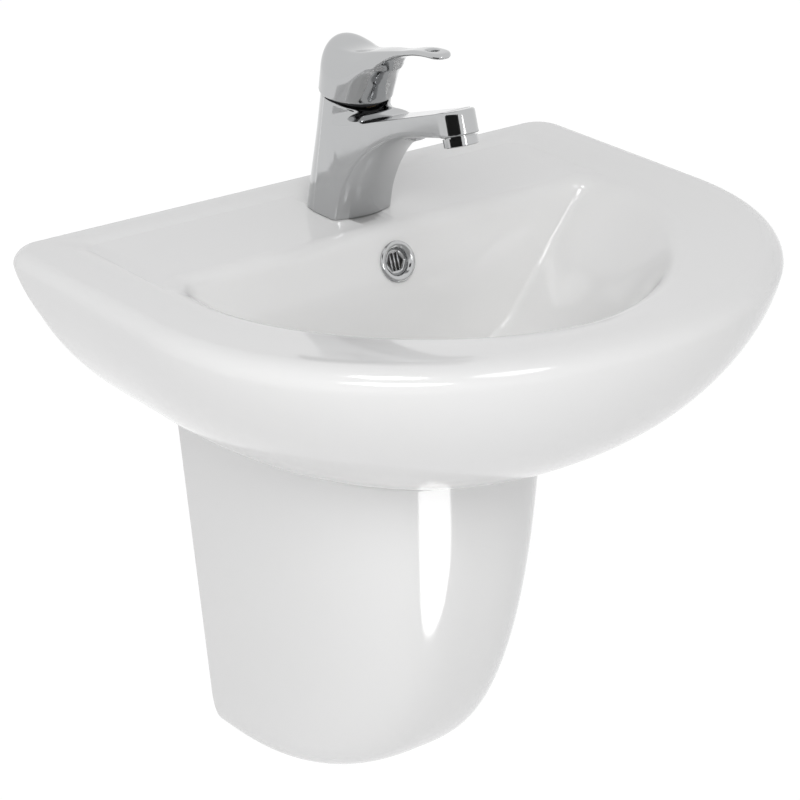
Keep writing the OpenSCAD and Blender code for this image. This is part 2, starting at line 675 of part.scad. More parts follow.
// ---------- Waste ----------
tail_r = 20.5;
tail_bore_r = 17.5;
tail_l = 56;
seal_t = 1.5;
window_h = 7;
hub_r = 8.5;
hub_z = -34;
hub_h = 7;
click_r = 6;
click_l = 24;
spindle_r = 3.5;
waste_plug_r = 22.5;
lower_seal_h = 6;
back_nut_h = 9;
flange_r = 31;
flange_h = 3.8;
seal_in = 1;
cap_flat_r = 12;
dish_r = 20.6;
spoke_t = 3;
window_w = 12;
window_drop = 2;
plug_h = 7;
plug_rim_h = 4.2;
plug_skirt = 6;
spindle_in = 44;
spindle_l = 45.9;
back_nut_r = 30;
under = floor_z - under_z;

module on_waste(z = 0) translate([0, -waste_out, floor_z + z]) children();
module ring(outer, inner, h, z = 0) translate([0, 0, z]) difference() {
    cylinder(r = outer, h = h);
    translate([0, 0, -over]) cylinder(r = inner, h = h + 2 * over);
}

module waste_body() color(metal) on_waste() difference() {
    union() {
        rotate_extrude() polygon([[tail_bore_r, -tail_l], [tail_r, -tail_l], [tail_r, seal_t],
            [flange_r, seal_t], [flange_r, flange_h - 1.2], [flange_r - 1.5, flange_h],
            [dish_r + 2.4, flange_h - 0.6],
            [dish_r, flange_h - 0.9], [tail_bore_r + 0.5, 0.2], [tail_bore_r, -tail_r + tail_bore_r]]);
        // spider that carries the click cartridge
        for (a = [0:120:240]) rotate([0, 0, a]) translate([hub_r - 2, -spoke_t / 2, hub_z])
            cube([tail_bore_r - hub_r + 3, spoke_t, hub_h]);
        translate([0, 0, hub_z - over]) cylinder(r = hub_r, h = hub_h + 2 * over);
    }
    translate([0, 0, hub_z - 2 * over]) cylinder(r = click_r + run_gap, h = hub_h + 4 * over);
    // windows for the water of the overflow
    for (a = [45:90:315]) rotate([0, 0, a]) translate([tail_bore_r - 2 * over, -window_w / 2,
        window_drop - under])
        cube([tail_r - tail_bore_r + 3 * over, window_w, window_h]);
}
module flange_seal() color(rubber) on_waste() ring(flange_r - seal_in, tail_r + slip, seal_t);
module waste_plug() color(metal) on_waste() rotate_extrude() polygon([
    [0, plug_h], [cap_flat_r, plug_h - 0.2], [waste_plug_r - 2.5, plug_h - 1.2],
    [waste_plug_r, plug_rim_h + 0.7], [waste_plug_r, plug_rim_h], [hub_r, plug_rim_h],
    [hub_r, -plug_skirt], [spindle_r + run_gap, -plug_skirt], [spindle_r + run_gap, 2], [0, 2]]);
module plug_seal() color(rubber) on_waste() rotate_extrude()
    let(top = plug_rim_h - slip, r = waste_plug_r - 1.1) polygon([
    [hub_r + slip, top], [r, top], [r, top - 0.7], [r - 0.9, top - 0.85], [r - 2.8, top - 2.8],
    [r - 4, top - 2.8], [r - 4, top - 1.1], [hub_r + slip, top - 1.1]]);
module plug_spindle() color(steel) on_waste(-spindle_in) cylinder(r = spindle_r, h = spindle_l);
module click_cartridge() color(plastic) on_waste() {
    ring(click_r, spindle_r + run_gap, click_l, -spindle_in - 4);
    ring(click_r + 1.5, spindle_r + run_gap, spoke_t, hub_z + hub_h + over + slip);
}
module lower_seal() color(rubber) on_waste(-under - lower_seal_h) difference() {
    cylinder(r1 = back_nut_r - 4, r2 = back_nut_r, h = lower_seal_h);
    translate([0, 0, -over]) cylinder(r = tail_r + slip, h = lower_seal_h + 2 * over);
}
module back_nut() color("goldenrod") on_waste(-under - lower_seal_h - back_nut_h) difference() {
    cylinder(r = back_nut_r, h = back_nut_h, $fn = 8);
    translate([0, 0, -over]) cylinder(r = tail_r + slip, h = back_nut_h + 2 * over);
}

// ---------- Bottle trap ----------
pipe_r = 16;
pipe_t = 1.6;
nut_r = 25;
washer_t = 2;
collar_t = 2;
lip_t = 3;
trap_top = -74;
trap_neck_l = 16;
trap_r = 25;
trap_t = 2.4;
trap_l = 56;
cup_l = 42;
outlet_z = -112;
outlet_l = 22;
wall_flange_r = 34;
into_wall = 40;
pipe_in = 14;
tail_nut_h = 20;
top_nut_h = 15;
outlet_nut_h = 20;
rib_r = 1.6;
pipe_play = 0.15;
cup_t = 2.6;
cup_foot = 10;
cup_grip = 14;
flange_t = 1.5;
flange_l = 12;
mark_out = 1;
mark_w = 1;
mark_deep = 0.4;
trap_low = trap_top - trap_neck_l - trap_l;

// Cap nut: its lip is at z = 0 and its threaded part runs up from it
module cap_nut(h) difference() {
    union() {
        cylinder(r = nut_r - 1, h = h);
        for (a = [0:30:330]) rotate([0, 0, a]) translate([nut_r - 1, 0, 0])
            cylinder(r = rib_r, h = h, $fn = 16);
    }
    translate([0, 0, -over]) cylinder(r = pipe_r + pipe_play, h = h + 2 * over);
    translate([0, 0, lip_t]) cylinder(r = tail_r + slip, h = h);
}

module tail_nut() color(metal) on_waste(-tail_l - washer_t - collar_t - lip_t) cap_nut(tail_nut_h);
module tail_washer() color(rubber) on_waste(-tail_l - washer_t) ring(tail_r, pipe_r, washer_t);
module trap_tube() color(metal) on_waste(-tail_l - washer_t) {
    ring(tail_r, pipe_r - pipe_t, collar_t, -collar_t);
    ring(pipe_r, pipe_r - pipe_t, pipe_in - trap_low - tail_l - washer_t,
        trap_low - pipe_in + tail_l + washer_t);
}
module trap_top_washer() color(rubber) on_waste(trap_top) ring(tail_r, pipe_r + run_gap, washer_t);
module trap_top_nut() color(metal) on_waste(trap_top + washer_t + lip_t) mirror([0, 0, 1]) cap_nut(top_nut_h);
module trap_body() color(metal) on_waste() difference() {
    union() {
        ring(tail_r, pipe_r + 1, trap_neck_l, trap_top - trap_neck_l);
        translate([0, 0, trap_low]) cylinder(r = trap_r, h = trap_l);
        translate([0, 0, outlet_z]) rotate([-90, 0, 0]) cylinder(r = tail_r, h = trap_r + outlet_l);
    }
    translate([0, 0, trap_low - over]) cylinder(r = trap_r - trap_t, h = trap_l + over - trap_t);
    translate([0, 0, trap_low]) cylinder(r = pipe_r + 1, h = trap_l + over);
    translate([0, 0, outlet_z]) rotate([-90, 0, 0]) cylinder(r = pipe_r + 1, h = waste_out);
}
module trap_cup() color(metal) on_waste(trap_low - cup_l + cup_grip - washer_t) difference() {
    union() {
        cylinder(r1 = trap_r - cup_foot / 2, r2 = trap_r + cup_t, h = cup_foot);
        translate([0, 0, cup_foot]) cylinder(r = trap_r + cup_t, h = cup_l - cup_foot);
    }
    translate([0, 0, trap_t]) cylinder(r = trap_r - trap_t - 4, h = cup_l);
    translate([0, 0, cup_l - cup_grip]) cylinder(r = trap_r + slip, h = cup_grip + over);
}
module cup_seal() color(rubber) on_waste(trap_low - washer_t)
    ring(trap_r, trap_r - trap_t - 1, washer_t - slip);

module on_outlet(out) translate([0, -out, floor_z + outlet_z]) rotate([-90, 0, 0]) children();
outlet_end = waste_out - trap_r - outlet_l;
module outlet_washer() color(rubber) on_outlet(outlet_end) ring(tail_r, pipe_r + run_gap, washer_t);
module outlet_nut() color(metal) on_outlet(outlet_end - washer_t - lip_t) mirror([0, 0, 1])
    cap_nut(outlet_nut_h);
// The outlet pipe has a fine groove that marks how far it goes into the wall
module outlet_pipe() color(metal) difference() {
    on_outlet(outlet_end + pipe_in) ring(pipe_r, pipe_r - pipe_t, outlet_end + pipe_in + into_wall);
    on_outlet(-mark_out) ring(pipe_r + over, pipe_r - mark_deep, mark_w);
}
module wall_flange() color(metal) out_of_wall(0) translate([0, floor_z + outlet_z, 0]) rotate_extrude()
    polygon([
    [pipe_r + slip, 0], [wall_flange_r, 0], [wall_flange_r, flange_t],
    [pipe_r + wall_flange_r / 4, flange_l * 0.6], [pipe_r + 2 * flange_t, flange_l], [pipe_r + slip, flange_l]]);

// ---------- Wall fixings ----------
hanger_r = 5;
hanger_thread_r = 4.7;
bush_t = 2;
washer_r = 12;
hanger_washer_t = 2;
hanger_nut_r = 9.8;
hanger_nut_h = 8;
hanger_in = 50;
// How far inside the wall the thicker end of a stud begins
shank_in = 5;
ped_shank_r = 4;
ped_thread_r = 3.7;
ped_stud_out = 34;
ped_stud_in = 40;
ped_washer_r = 9;
ped_washer_t = 1.6;
ped_nut_r = 7.5;
ped_nut_h = 6.5;
module hangers() bolt_pair(bolt_spacing) rotate([90, 0, 0]) children();
module ped_studs() translate([0, 0, lip_z - ped_stud_drop]) bolt_pair(ped_stud_spacing) rotate([90, 0, 0])
    children();
module hex_nut(r, hole, h) difference() {
    cylinder(r = r, h = h, $fn = 6);
    translate([0, 0, -over]) cylinder(r = hole, h = h + 2 * over);
}

// Stud with a thick end for the wall plug and a machine thread in front of it
module wall_stud(shank_r, thread_r, in, out) {
    translate([0, 0, -in]) cylinder(r = shank_r, h = in - shank_in);
    translate([0, 0, -shank_in - over]) cylinder(r = thread_r, h = shank_in + over + out);
}

module hanger_studs() color(steel) hangers() wall_stud(hanger_r, hanger_thread_r, hanger_in, bolt_out);
module hanger_bushes() color(plastic) hangers() {
    ring(bolt_hole_r - slip, hanger_thread_r + slip, ceramic_t - 0.5, 0.5);
    ring(washer_r + 1, hanger_thread_r + slip, bush_t, ceramic_t);
}
module hanger_washers() color(steel) hangers()
    ring(washer_r, hanger_thread_r + slip, hanger_washer_t, ceramic_t + bush_t);
module hanger_nuts() color(steel) hangers() translate([0, 0, ceramic_t + bush_t + hanger_washer_t])
    hex_nut(hanger_nut_r, hanger_thread_r + run_gap, hanger_nut_h);
module pedestal_studs() color(steel) ped_studs()
    wall_stud(ped_shank_r, ped_thread_r, ped_stud_in, ped_stud_out);
module pedestal_washers() color(steel) ped_studs()
    ring(ped_washer_r, ped_thread_r + slip, ped_washer_t, lug_t + ped_back_r);
module pedestal_nuts() color(steel) ped_studs() translate([0, 0, lug_t + ped_back_r + ped_washer_t])
    hex_nut(ped_nut_r, ped_thread_r + run_gap, ped_nut_h);

basin();
half_pedestal();
overflow_ring();
tap_body();
aerator_housing();
aerator_insert();
aerator_seal();
cartridge_housing();
cartridge_base();
port_seals();
fixed_disc();
moving_disc();
stem_carrier();
lever_stem();
stem_pin();
cartridge_nut();
cover_ring();
lever_handle();
grub_screw();
index_plug();
foot_gasket();
fixing_stud();
horseshoe_gasket();
horseshoe_plate();
tap_nut();
waste_body();
flange_seal();
waste_plug();
plug_seal();
plug_spindle();
click_cartridge();
lower_seal();
back_nut();
tail_nut();
tail_washer();
trap_tube();
trap_top_nut();
trap_top_washer();
trap_body();
trap_cup();
cup_seal();
outlet_nut();
outlet_washer();
outlet_pipe();
wall_flange();
hanger_studs();
hanger_bushes();
hanger_washers();
hanger_nuts();
pedestal_studs();
pedestal_washers();
pedestal_nuts();
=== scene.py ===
# %% [markdown]
# A wall-hung washbasin with a half pedestal and a single-lever mixer tap.
#
# The frame that is loaded first holds every piece of the basin at its real size: the ceramic, the tap, the
# waste and trap, and the wall fixings. This lesson gives those pieces their finish. It also models again, as
# fine smooth meshes, the pieces whose curves carry the look of the object: the two ceramic castings and the
# chromed castings of the tap. Blender works in metres, and the sizes below are in millimetres, as on a
# drawing, so each mesh is scaled once when it is made.

# %% Load the frame
import json
import math

import bmesh
import bpy
import numpy as np
from mathutils import Matrix, Quaternion, Vector

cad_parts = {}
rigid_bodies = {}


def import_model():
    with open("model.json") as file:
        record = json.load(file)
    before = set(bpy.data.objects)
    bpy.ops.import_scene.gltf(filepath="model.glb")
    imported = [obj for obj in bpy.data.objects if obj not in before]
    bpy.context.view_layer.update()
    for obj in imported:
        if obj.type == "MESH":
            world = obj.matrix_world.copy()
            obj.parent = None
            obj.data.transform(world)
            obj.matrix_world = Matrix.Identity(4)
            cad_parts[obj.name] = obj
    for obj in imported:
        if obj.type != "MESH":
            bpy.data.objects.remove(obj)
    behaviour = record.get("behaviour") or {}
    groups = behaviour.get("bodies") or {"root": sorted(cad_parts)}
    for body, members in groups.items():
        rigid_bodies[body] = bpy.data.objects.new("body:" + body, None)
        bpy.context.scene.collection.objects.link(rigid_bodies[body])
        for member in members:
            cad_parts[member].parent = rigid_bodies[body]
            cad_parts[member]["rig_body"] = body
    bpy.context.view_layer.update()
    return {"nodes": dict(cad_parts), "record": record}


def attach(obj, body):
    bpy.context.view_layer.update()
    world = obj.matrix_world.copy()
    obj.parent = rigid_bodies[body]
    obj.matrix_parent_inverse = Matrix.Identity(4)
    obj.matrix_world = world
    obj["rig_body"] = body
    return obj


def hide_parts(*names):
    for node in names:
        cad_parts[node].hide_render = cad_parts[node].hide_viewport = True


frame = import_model()
nodes = frame["nodes"]
MM = 0.001
print("pieces in the frame:", len(nodes))

# %% [markdown]
# A product is seen best from a little above and from one side, through a long lens, because a long lens
# keeps the verticals of the pedestal nearly parallel. The camera is placed by its distance from a point
# in the middle of the object, so that the angle can be read straight from the numbers.

# %% Camera
AZIMUTH = 37.58
ELEVATION = 23.4
ROLL = 0.06
DISTANCE = 2.0
LENS = 126
SENSOR_W = 36
TARGET = Vector((-0.01687, -0.15039, -0.05254))


def from_target(azimuth, elevation, distance):
    """A point at this distance from the target; azimuth is counted from the front towards the left."""
    a, e = math.radians(azimuth), math.radians(elevation)
    flat = distance * math.cos(e)
    return TARGET + Vector((-flat * math.sin(a), -flat * math.cos(a), distance * math.sin(e)))


camera_data = bpy.data.cameras.new("camera")
camera_data.lens = LENS
camera_data.sensor_width = SENSOR_W
camera_data.clip_end = 50
camera = bpy.data.objects.new("camera", camera_data)
camera.location = from_target(AZIMUTH, ELEVATION, DISTANCE)
look = (TARGET - camera.location).to_track_quat("-Z", "Y")
camera.rotation_euler = (look @ Quaternion((0, 0, 1), math.radians(ROLL))).to_euler()
bpy.context.scene.collection.objects.link(camera)
bpy.context.scene.camera = camera
print("camera at", [round(c, 3) for c in camera.location])

# %% [markdown]
# A material in Blender is a small network of nodes. Nearly all of them here start from one Principled
# shader, so two helpers save repeating the wiring: one makes the shader, and one adds a fine noise that
# moves the roughness and the surface a little, because no real surface is perfectly even. Most values of
# such a noise lie between 0.3 and 0.7, so that range is spread over the values that are wanted.

# %% Material helpers
NOISE_LOW, NOISE_HIGH = 0.3, 0.7


def material(name, color, **sockets):
    """A Principled material with its plain numbers set on the shader's own sockets."""
    made = bpy.data.materials.new(name)
    made.use_nodes = True
    shader = made.node_tree.nodes["Principled BSDF"]
    shader.inputs["Base Color"].default_value = (*color, 1)
    for socket, value in sockets.items():
        shader.inputs[socket.replace("_", " ")].default_value = value
    return made


def noise(made, scale, detail=2.0):
    """A noise texture in the object's own space, so that it stays on the piece when the piece moves."""
    tree = made.node_tree
    place = tree.nodes.new("ShaderNodeTexCoord")
    texture = tree.nodes.new("ShaderNodeTexNoise")
    texture.inputs["Scale"].default_value = scale
    texture.inputs["Detail"].default_value = detail
    tree.links.new(place.outputs["Object"], texture.inputs["Vector"])
    return texture


def vary(made, texture, socket, low, high):
    """Lets a texture move one socket of the shader between two values."""
    tree = made.node_tree
    spread = tree.nodes.new("ShaderNodeMapRange")
    spread.inputs["From Min"].default_value = NOISE_LOW
    spread.inputs["From Max"].default_value = NOISE_HIGH
    spread.inputs["To Min"].default_value = low
    spread.inputs["To Max"].default_value = high
    tree.links.new(texture.outputs["Fac"], spread.inputs["Value"])
    tree.links.new(spread.outputs["Result"], tree.nodes["Principled BSDF"].inputs[socket])


def tint(made, texture, first, second):
    """Lets a texture move the base colour; the mix takes colours at sockets 6 and 7, and gives one at 2."""
    tree = made.node_tree
    mix = tree.nodes.new("ShaderNodeMix")
    mix.data_type = "RGBA"
    mix.inputs[6].default_value = (*first, 1)
    mix.inputs[7].default_value = (*second, 1)
    tree.links.new(texture.outputs["Fac"], mix.inputs[0])
    tree.links.new(mix.outputs[2], tree.nodes["Principled BSDF"].inputs["Base Color"])


def ripple(made, texture, height, strength):
    """Lets a texture stand for small hills of this height, in metres, felt with this strength."""
    tree = made.node_tree
    bump = tree.nodes.new("ShaderNodeBump")
    bump.inputs["Distance"].default_value = height
    bump.inputs["Strength"].default_value = strength
    tree.links.new(texture.outputs["Fac"], bump.inputs["Height"])
    tree.links.new(bump.outputs["Normal"], tree.nodes["Principled BSDF"].inputs["Normal"])


# %% [markdown]
# Vitreous china is a white clay body under a clear glass glaze. The glaze gives a sharp reflection over a
# soft white, which is just what the Principled shader's dielectric layer does. Fired glaze is never quite
# flat: it has a long, very shallow ripple, which bends the edges of reflections.

# %% Glazed ceramic
GLAZE_WHITE = (0.80, 0.80, 0.795)
GLAZE_WARM = (0.79, 0.788, 0.775)
glaze = material("glazed_ceramic", GLAZE_WHITE, Roughness=0.09, IOR=1.52)
tint(glaze, noise(glaze, 6), GLAZE_WHITE, GLAZE_WARM)
vary(glaze, noise(glaze, 25), "Roughness", 0.075, 0.11)
ripple(glaze, noise(glaze, 14, 1.0), 0.0006, 0.35)
print("glaze:", glaze.name)

# %% [markdown]
# Chrome plate is a thin, hard mirror over polished brass. It has almost no colour of its own, so its look
# comes from what it reflects. Its roughness stays very low, with faint wiping marks in it.

# %% Metals
chrome = material("polished_chrome", (0.50, 0.505, 0.51), Metallic=1.0, Roughness=0.10)
vary(chrome, noise(chrome, 90), "Roughness", 0.08, 0.13)
steel = material("plated_steel", (0.60, 0.60, 0.59), Metallic=1.0, Roughness=0.32)
vary(steel, noise(steel, 350), "Roughness", 0.24, 0.42)
tint(steel, noise(steel, 60), (0.56, 0.56, 0.55), (0.66, 0.66, 0.64))
brass = material("turned_brass", (0.70, 0.53, 0.26), Metallic=1.0, Roughness=0.28)
vary(brass, noise(brass, 400), "Roughness", 0.2, 0.38)
tint(brass, noise(brass, 45), (0.66, 0.49, 0.23), (0.74, 0.57, 0.30))
print("metals:", chrome.name, steel.name, brass.name)

# %% [markdown]
# The seals are black rubber and the inner tap pieces are moulded plastic. Both are dull and slightly
# uneven, so noise moves their roughness and gives them a fine grain.

# %% Rubber, plastics and the ceramic discs
rubber = material("black_rubber", (0.03, 0.03, 0.03), Roughness=0.7)
tint(rubber, noise(rubber, 80), (0.022, 0.022, 0.022), (0.045, 0.045, 0.045))
ripple(rubber, noise(rubber, 900), 0.0001, 0.4)
plastic = material("pale_plastic", (0.80, 0.80, 0.77), Roughness=0.45)
tint(plastic, noise(plastic, 70), (0.76, 0.76, 0.73), (0.83, 0.83, 0.80))
ripple(plastic, noise(plastic, 700), 0.0001, 0.2)
dark_plastic = material("dark_plastic", (0.02, 0.02, 0.022), Roughness=0.4)
vary(dark_plastic, noise(dark_plastic, 500), "Roughness", 0.32, 0.5)
alumina = material("lapped_alumina", (0.78, 0.76, 0.70), Roughness=0.25)
tint(alumina, noise(alumina, 120), (0.75, 0.73, 0.67), (0.80, 0.78, 0.73))

FINISHES = {
    "glaze": glaze, "chrome": chrome, "steel": steel, "brass": brass, "rubber": rubber,
    "plastic": plastic, "dark_plastic": dark_plastic, "disc_ceramic": alumina,
}
slots = {row["node"]: row["material_slot"] for row in frame["record"]["subparts"]}
for name, piece in nodes.items():
    piece.data.materials.clear()
    piece.data.materials.append(FINISHES[slots[name]])
print("finishes:", len(FINISHES))

# %% [markdown]
# Every new piece is made the same way: points and faces in millimetres become a mesh in metres, shaded
# smooth, with its finish, riding on the body of the piece that it stands for.

# %% Making a piece


def make_piece(name, points, faces, node, finish):
    """A mesh from points in millimetres, which replaces a node of the frame and rides on its body."""
    data = bpy.data.meshes.new(name)
    data.from_pydata([tuple(p) for p in np.asarray(points) * MM], [], [tuple(f) for f in faces])
    data.polygons.foreach_set("use_smooth", [True] * len(data.polygons))
    data.materials.append(FINISHES[finish])
    piece = bpy.data.objects.new(name, data)
    bpy.context.scene.collection.objects.link(piece)
    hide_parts(node)
    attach(piece, nodes[node]["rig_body"])
    print(name, "has", len(data.vertices), "points")
    return piece


# %% [markdown]
# A basin is cast in a plaster mould, and its outline at every level is a D: straight along the wall, round
# at the front. A superellipse with one power draws that front curve. Writing the outline once, as a
# function of six sizes, gives every level of the bowl, the rim and the belly. The six are half the width,
# the distances from the wall to the back, to the front and to where the front curve starts, the power, and
# the radius of the back corners.

# %% The D-shaped outline
BACK_POINTS = 26
CORNER_POINTS = 16
SIDE_POINTS = 22
FRONT_POINTS = 84


def outline(half_width, back, front, sides, power, corner):
    """Points round one level, as (across, out of the wall); the front curve starts at the distance sides."""
    corner = min(corner, half_width * 0.98)
    sides = max(sides, back + corner + 1)
    i = np.arange(BACK_POINTS) / BACK_POINTS
    back_line = np.c_[(half_width - corner) * i, np.full_like(i, back)]
    a = np.radians(90 * np.arange(CORNER_POINTS) / CORNER_POINTS)
    bend = np.c_[half_width - corner + corner * np.sin(a), back + corner * (1 - np.cos(a))]
    j = np.arange(SIDE_POINTS) / SIDE_POINTS
    straight = np.c_[np.full_like(j, half_width), back + corner + (sides - back - corner) * j]
    b = np.radians(90 * np.arange(FRONT_POINTS + 1) / FRONT_POINTS)
    curve = 2 / power
    nose = np.c_[half_width * np.abs(np.cos(b)) ** curve, sides + (front - sides) * np.sin(b) ** curve]
    nose[-1, 0] = 0
    right = np.vstack([back_line, bend, straight, nose])
    return np.vstack([right, right[-2:0:-1] * (-1, 1)])


def level(points, z):
    """An outline as points of the row frame: the front faces -Y."""
    return np.c_[points[:, 0], -points[:, 1], np.full(len(points), z)]


def fall(u, power):
    """From 1 at u = 0 to 0 at u = 1, along a superellipse."""
    return max(0.0, 1 - u**power) ** (1 / power)


def ease(t):
    """From 0 to 1 with a soft start and a soft end."""
    t = np.clip(t, 0, 1)
    return t * t * (3 - 2 * t)


def mix(a, b, k):
    """The sizes of an outline at the fraction k between two others."""
    return [x + (y - x) * k for x, y in zip(a, b)]


def grow(d, g):
    """The sizes of an outline that lies g outside another."""
    return [d[0] + g, d[1] - g, d[2] + g, d[3], d[4], max(d[5] + g, 1)]


def skin(rings):
    """Faces between rings of equal length, closed at the first and the last."""
    n, last = len(rings[0]), len(rings) - 1
    faces = []
    for k in range(last):
        for i in range(n):
            j = (i + 1) % n
            faces.append((k * n + i, (k + 1) * n + i, (k + 1) * n + j, k * n + j))
    faces.append(tuple(range(n)))
    faces.append(tuple(last * n + i for i in reversed(range(n))))
    return np.vstack(rings), faces


# %% [markdown]
# A bowl is drawn best as three sections: down its side, its back and its front. Each one is a line with a
# few corners, and every corner is rounded with its own radius, as a modeller would do with a rasp: wide and
# soft where the wall turns into the floor, tighter where the deck ends. The levels are then read off the
# sections.

# %% Rounded sections
CURVE_STEPS = 24


def rounded(corners, radii):
    """A line through corners, as (inset, depth), with its inner corners curved about as wide as the radii."""
    corners = [np.array(c, float) for c in corners]
    path = [corners[0]]
    for before, here, after, radius in zip(corners, corners[1:], corners[2:], radii):
        way_in = (here - before) / np.linalg.norm(here - before)
        way_out = (after - here) / np.linalg.norm(after - here)
        turn = math.acos(np.clip(way_in @ way_out, -1, 1))
        tangent = radius * math.tan(turn / 2)
        for k in range(CURVE_STEPS + 1):
            t = k / CURVE_STEPS
            a, b = here - way_in * tangent * (1 - t), here + way_out * tangent * t
            path.append(a + (b - a) * t)
    path.append(corners[-1])
    return np.array(path)


def inset_at(section, depth):
    """How far inside its edge a section runs at a depth."""
    return float(np.interp(depth, section[:, 1], section[:, 0]))


# %% [markdown]
# The basin's sizes, in millimetres. The wall bolts are at height 0, and the crest of the rim lies 70 above
# them. The back wall of the bowl is nearly plane and meets the side walls in a tight valley, which catches a
# thin line of light on the real basin.

# %% Sizes of the basin
BASIN_W, BASIN_D, RIM_Z = 494, 392, 70
ROLL_SIDE_H, ROLL_FRONT_H = 9, 14.2
ROLL_SIDE_IN, ROLL_FRONT_IN = 12, 22
ROLL_EASE_OUT = 320
BASIN_H, BELLY_END = 156, 0.814
EDGE_SIDES, EDGE_POWER, EDGE_CORNER_R = 176, 2.1, 18
BELLY_SIDE_POWER, BELLY_FRONT_POWER = 1.613, 1.989
BELLY_LOW_OUT, BELLY_LOW_SIDES, BELLY_LOW_CORNER_R = 14, 54, 35
BELLY_CORNER_HASTE = 5
DECK_DROP = 4
DECK_Z = RIM_Z - DECK_DROP
BOWL_H = 124
FLOOR_Z = DECK_Z - BOWL_H
CERAMIC_T = 12
UNDER_Z = FLOOR_Z - CERAMIC_T - 1
LIP_Z = RIM_Z - BASIN_H
ROOF_Z = DECK_Z - CERAMIC_T - 2
WASTE_OUT, FLAT_R = 172, 33
TAP_OUT = 60
EDGE_HALF_W, EDGE_BACK, EDGE_FRONT = 186.3, 116, 335
SIDE = rounded([(-9, -0.01), (0, 1.8), (54.5, 46), (91.3, 87), (EDGE_HALF_W - FLAT_R, BOWL_H)], [34, 150, 60])
BACK = rounded([(-11, -0.01), (0, 0.01), (16.5, 46), (21, 87), (WASTE_OUT - FLAT_R - EDGE_BACK, BOWL_H)],
               [15, 150, 80])
FRONT = rounded([(-9.5, -0.01), (0, 1.8), (40, 69), (75, 108), (EDGE_FRONT - WASTE_OUT - FLAT_R, BOWL_H)],
                [21, 80, 60])
VALLEY_R, LIP_CORNER_R, LIP_DEPTH = 5, 22, 16
VALLEY_END = 100
BOWL_SIDES, BOWL_POWER, BOWL_POWER_MORE = 155, 1.78, 0.22


def bowl(depth):
    """Outline of the bowl at a depth below the deck."""
    k = depth / BOWL_H
    corner = LIP_CORNER_R + (VALLEY_R - LIP_CORNER_R) * ease(depth / LIP_DEPTH)
    corner = corner + (FLAT_R - corner) * ease((depth - VALLEY_END) / (BOWL_H - VALLEY_END))
    return [EDGE_HALF_W - inset_at(SIDE, depth), EDGE_BACK + inset_at(BACK, depth),
            EDGE_FRONT - inset_at(FRONT, depth), BOWL_SIDES + (WASTE_OUT - BOWL_SIDES) * k,
            BOWL_POWER + BOWL_POWER_MORE * k, float(corner)]


def roll_height(points):
    """How far the widest line lies below the crest: little beside the wall, more at the front."""
    return ROLL_SIDE_H + (ROLL_FRONT_H - ROLL_SIDE_H) * ease(points[:, 1] / ROLL_EASE_OUT)


def belly(u):
    """Outline of the outside at the fraction u of the way down."""
    w, d = fall(u, BELLY_SIDE_POWER), fall(u, BELLY_FRONT_POWER)
    corner = EDGE_CORNER_R + (BELLY_LOW_CORNER_R - EDGE_CORNER_R) * min(1, u * BELLY_CORNER_HASTE)
    return [BASIN_W / 2 * w, 0, BELLY_LOW_OUT + (BASIN_D - BELLY_LOW_OUT) * d,
            EDGE_SIDES + (BELLY_LOW_SIDES - EDGE_SIDES) * u, EDGE_POWER, corner]


print("basin:", BASIN_W, "x", BASIN_D, "mm, bowl", BOWL_H, "mm deep")


# %% [markdown]
# The casting is one closed skin. Its rings start at the bowl's floor, climb to the deck, cross the crown of
# the rim, roll over its edge and run down the belly to the lip. There they turn inwards, climb inside the
# wall to the roof under the deck, and follow the bowl down again from below.

# %% Casting the basin
BOWL_RINGS, CROWN_RINGS, ROLL_RINGS, BELLY_RINGS, INNER_RINGS = 72, 24, 16, 60, 20
CLEAR = 0.01
DECK_GAP, DECK_STRIP, DECK_CORNER_R = 0.05, 22, 12
CREST_OUT, CREST_CORNER_R = 1, 14
CROWN_CROWDING = 1.4
CROWN_POWER, CROWN_POWER_DECK = 2, 1.5
DECK_BESIDE, DECK_BLEND = 150, 40
ROOF_INSET = 4
UNDER_FROM, UNDER_STEP = 24, 10
BOWL_TOP = bowl(0)
DECK_EDGE = [BOWL_TOP[0] + DECK_GAP, DECK_STRIP, BOWL_TOP[2] + DECK_GAP, BOWL_TOP[3], BOWL_TOP[4],
             DECK_CORNER_R]
CREST = [BASIN_W / 2 - ROLL_SIDE_IN, CREST_OUT, BASIN_D - ROLL_FRONT_IN, EDGE_SIDES, EDGE_POWER,
         CREST_CORNER_R]
ROOF_EDGE = [199, 96, 358, 190, 2.05, 46]


def rim_ring(k):
    """The crown of the rim at the fraction k from the deck's edge to the crest."""
    points = outline(*mix(DECK_EDGE, CREST, k))
    beside_deck = np.clip((DECK_BESIDE - points[:, 1]) / DECK_BLEND, 0, 1)
    made = level(points, 0)
    made[:, 2] = RIM_Z - DECK_DROP * (1 - k) ** (CROWN_POWER + CROWN_POWER_DECK * beside_deck)
    return made


def belly_ring(k, inset):
    """The outside at the fraction k from the widest line down to the lip."""
    points = outline(*grow(belly(BELLY_END * k), -inset))
    made = level(points, 0)
    roll = roll_height(points)
    made[:, 2] = RIM_Z - roll - (BASIN_H - roll) * k
    return made


def roll_ring(i):
    """The rolled edge, i steps from the crest out to the widest line."""
    a = math.radians(90 * i / ROLL_RINGS)
    left = 1 - math.sin(a)
    points = outline(BASIN_W / 2 - ROLL_SIDE_IN * left, left, BASIN_D - ROLL_FRONT_IN * left, EDGE_SIDES,
                     EDGE_POWER, EDGE_CORNER_R - (EDGE_CORNER_R - CREST_CORNER_R) * left)
    made = level(points, RIM_Z)
    made[:, 2] -= roll_height(points) * (1 - math.cos(a))
    return made


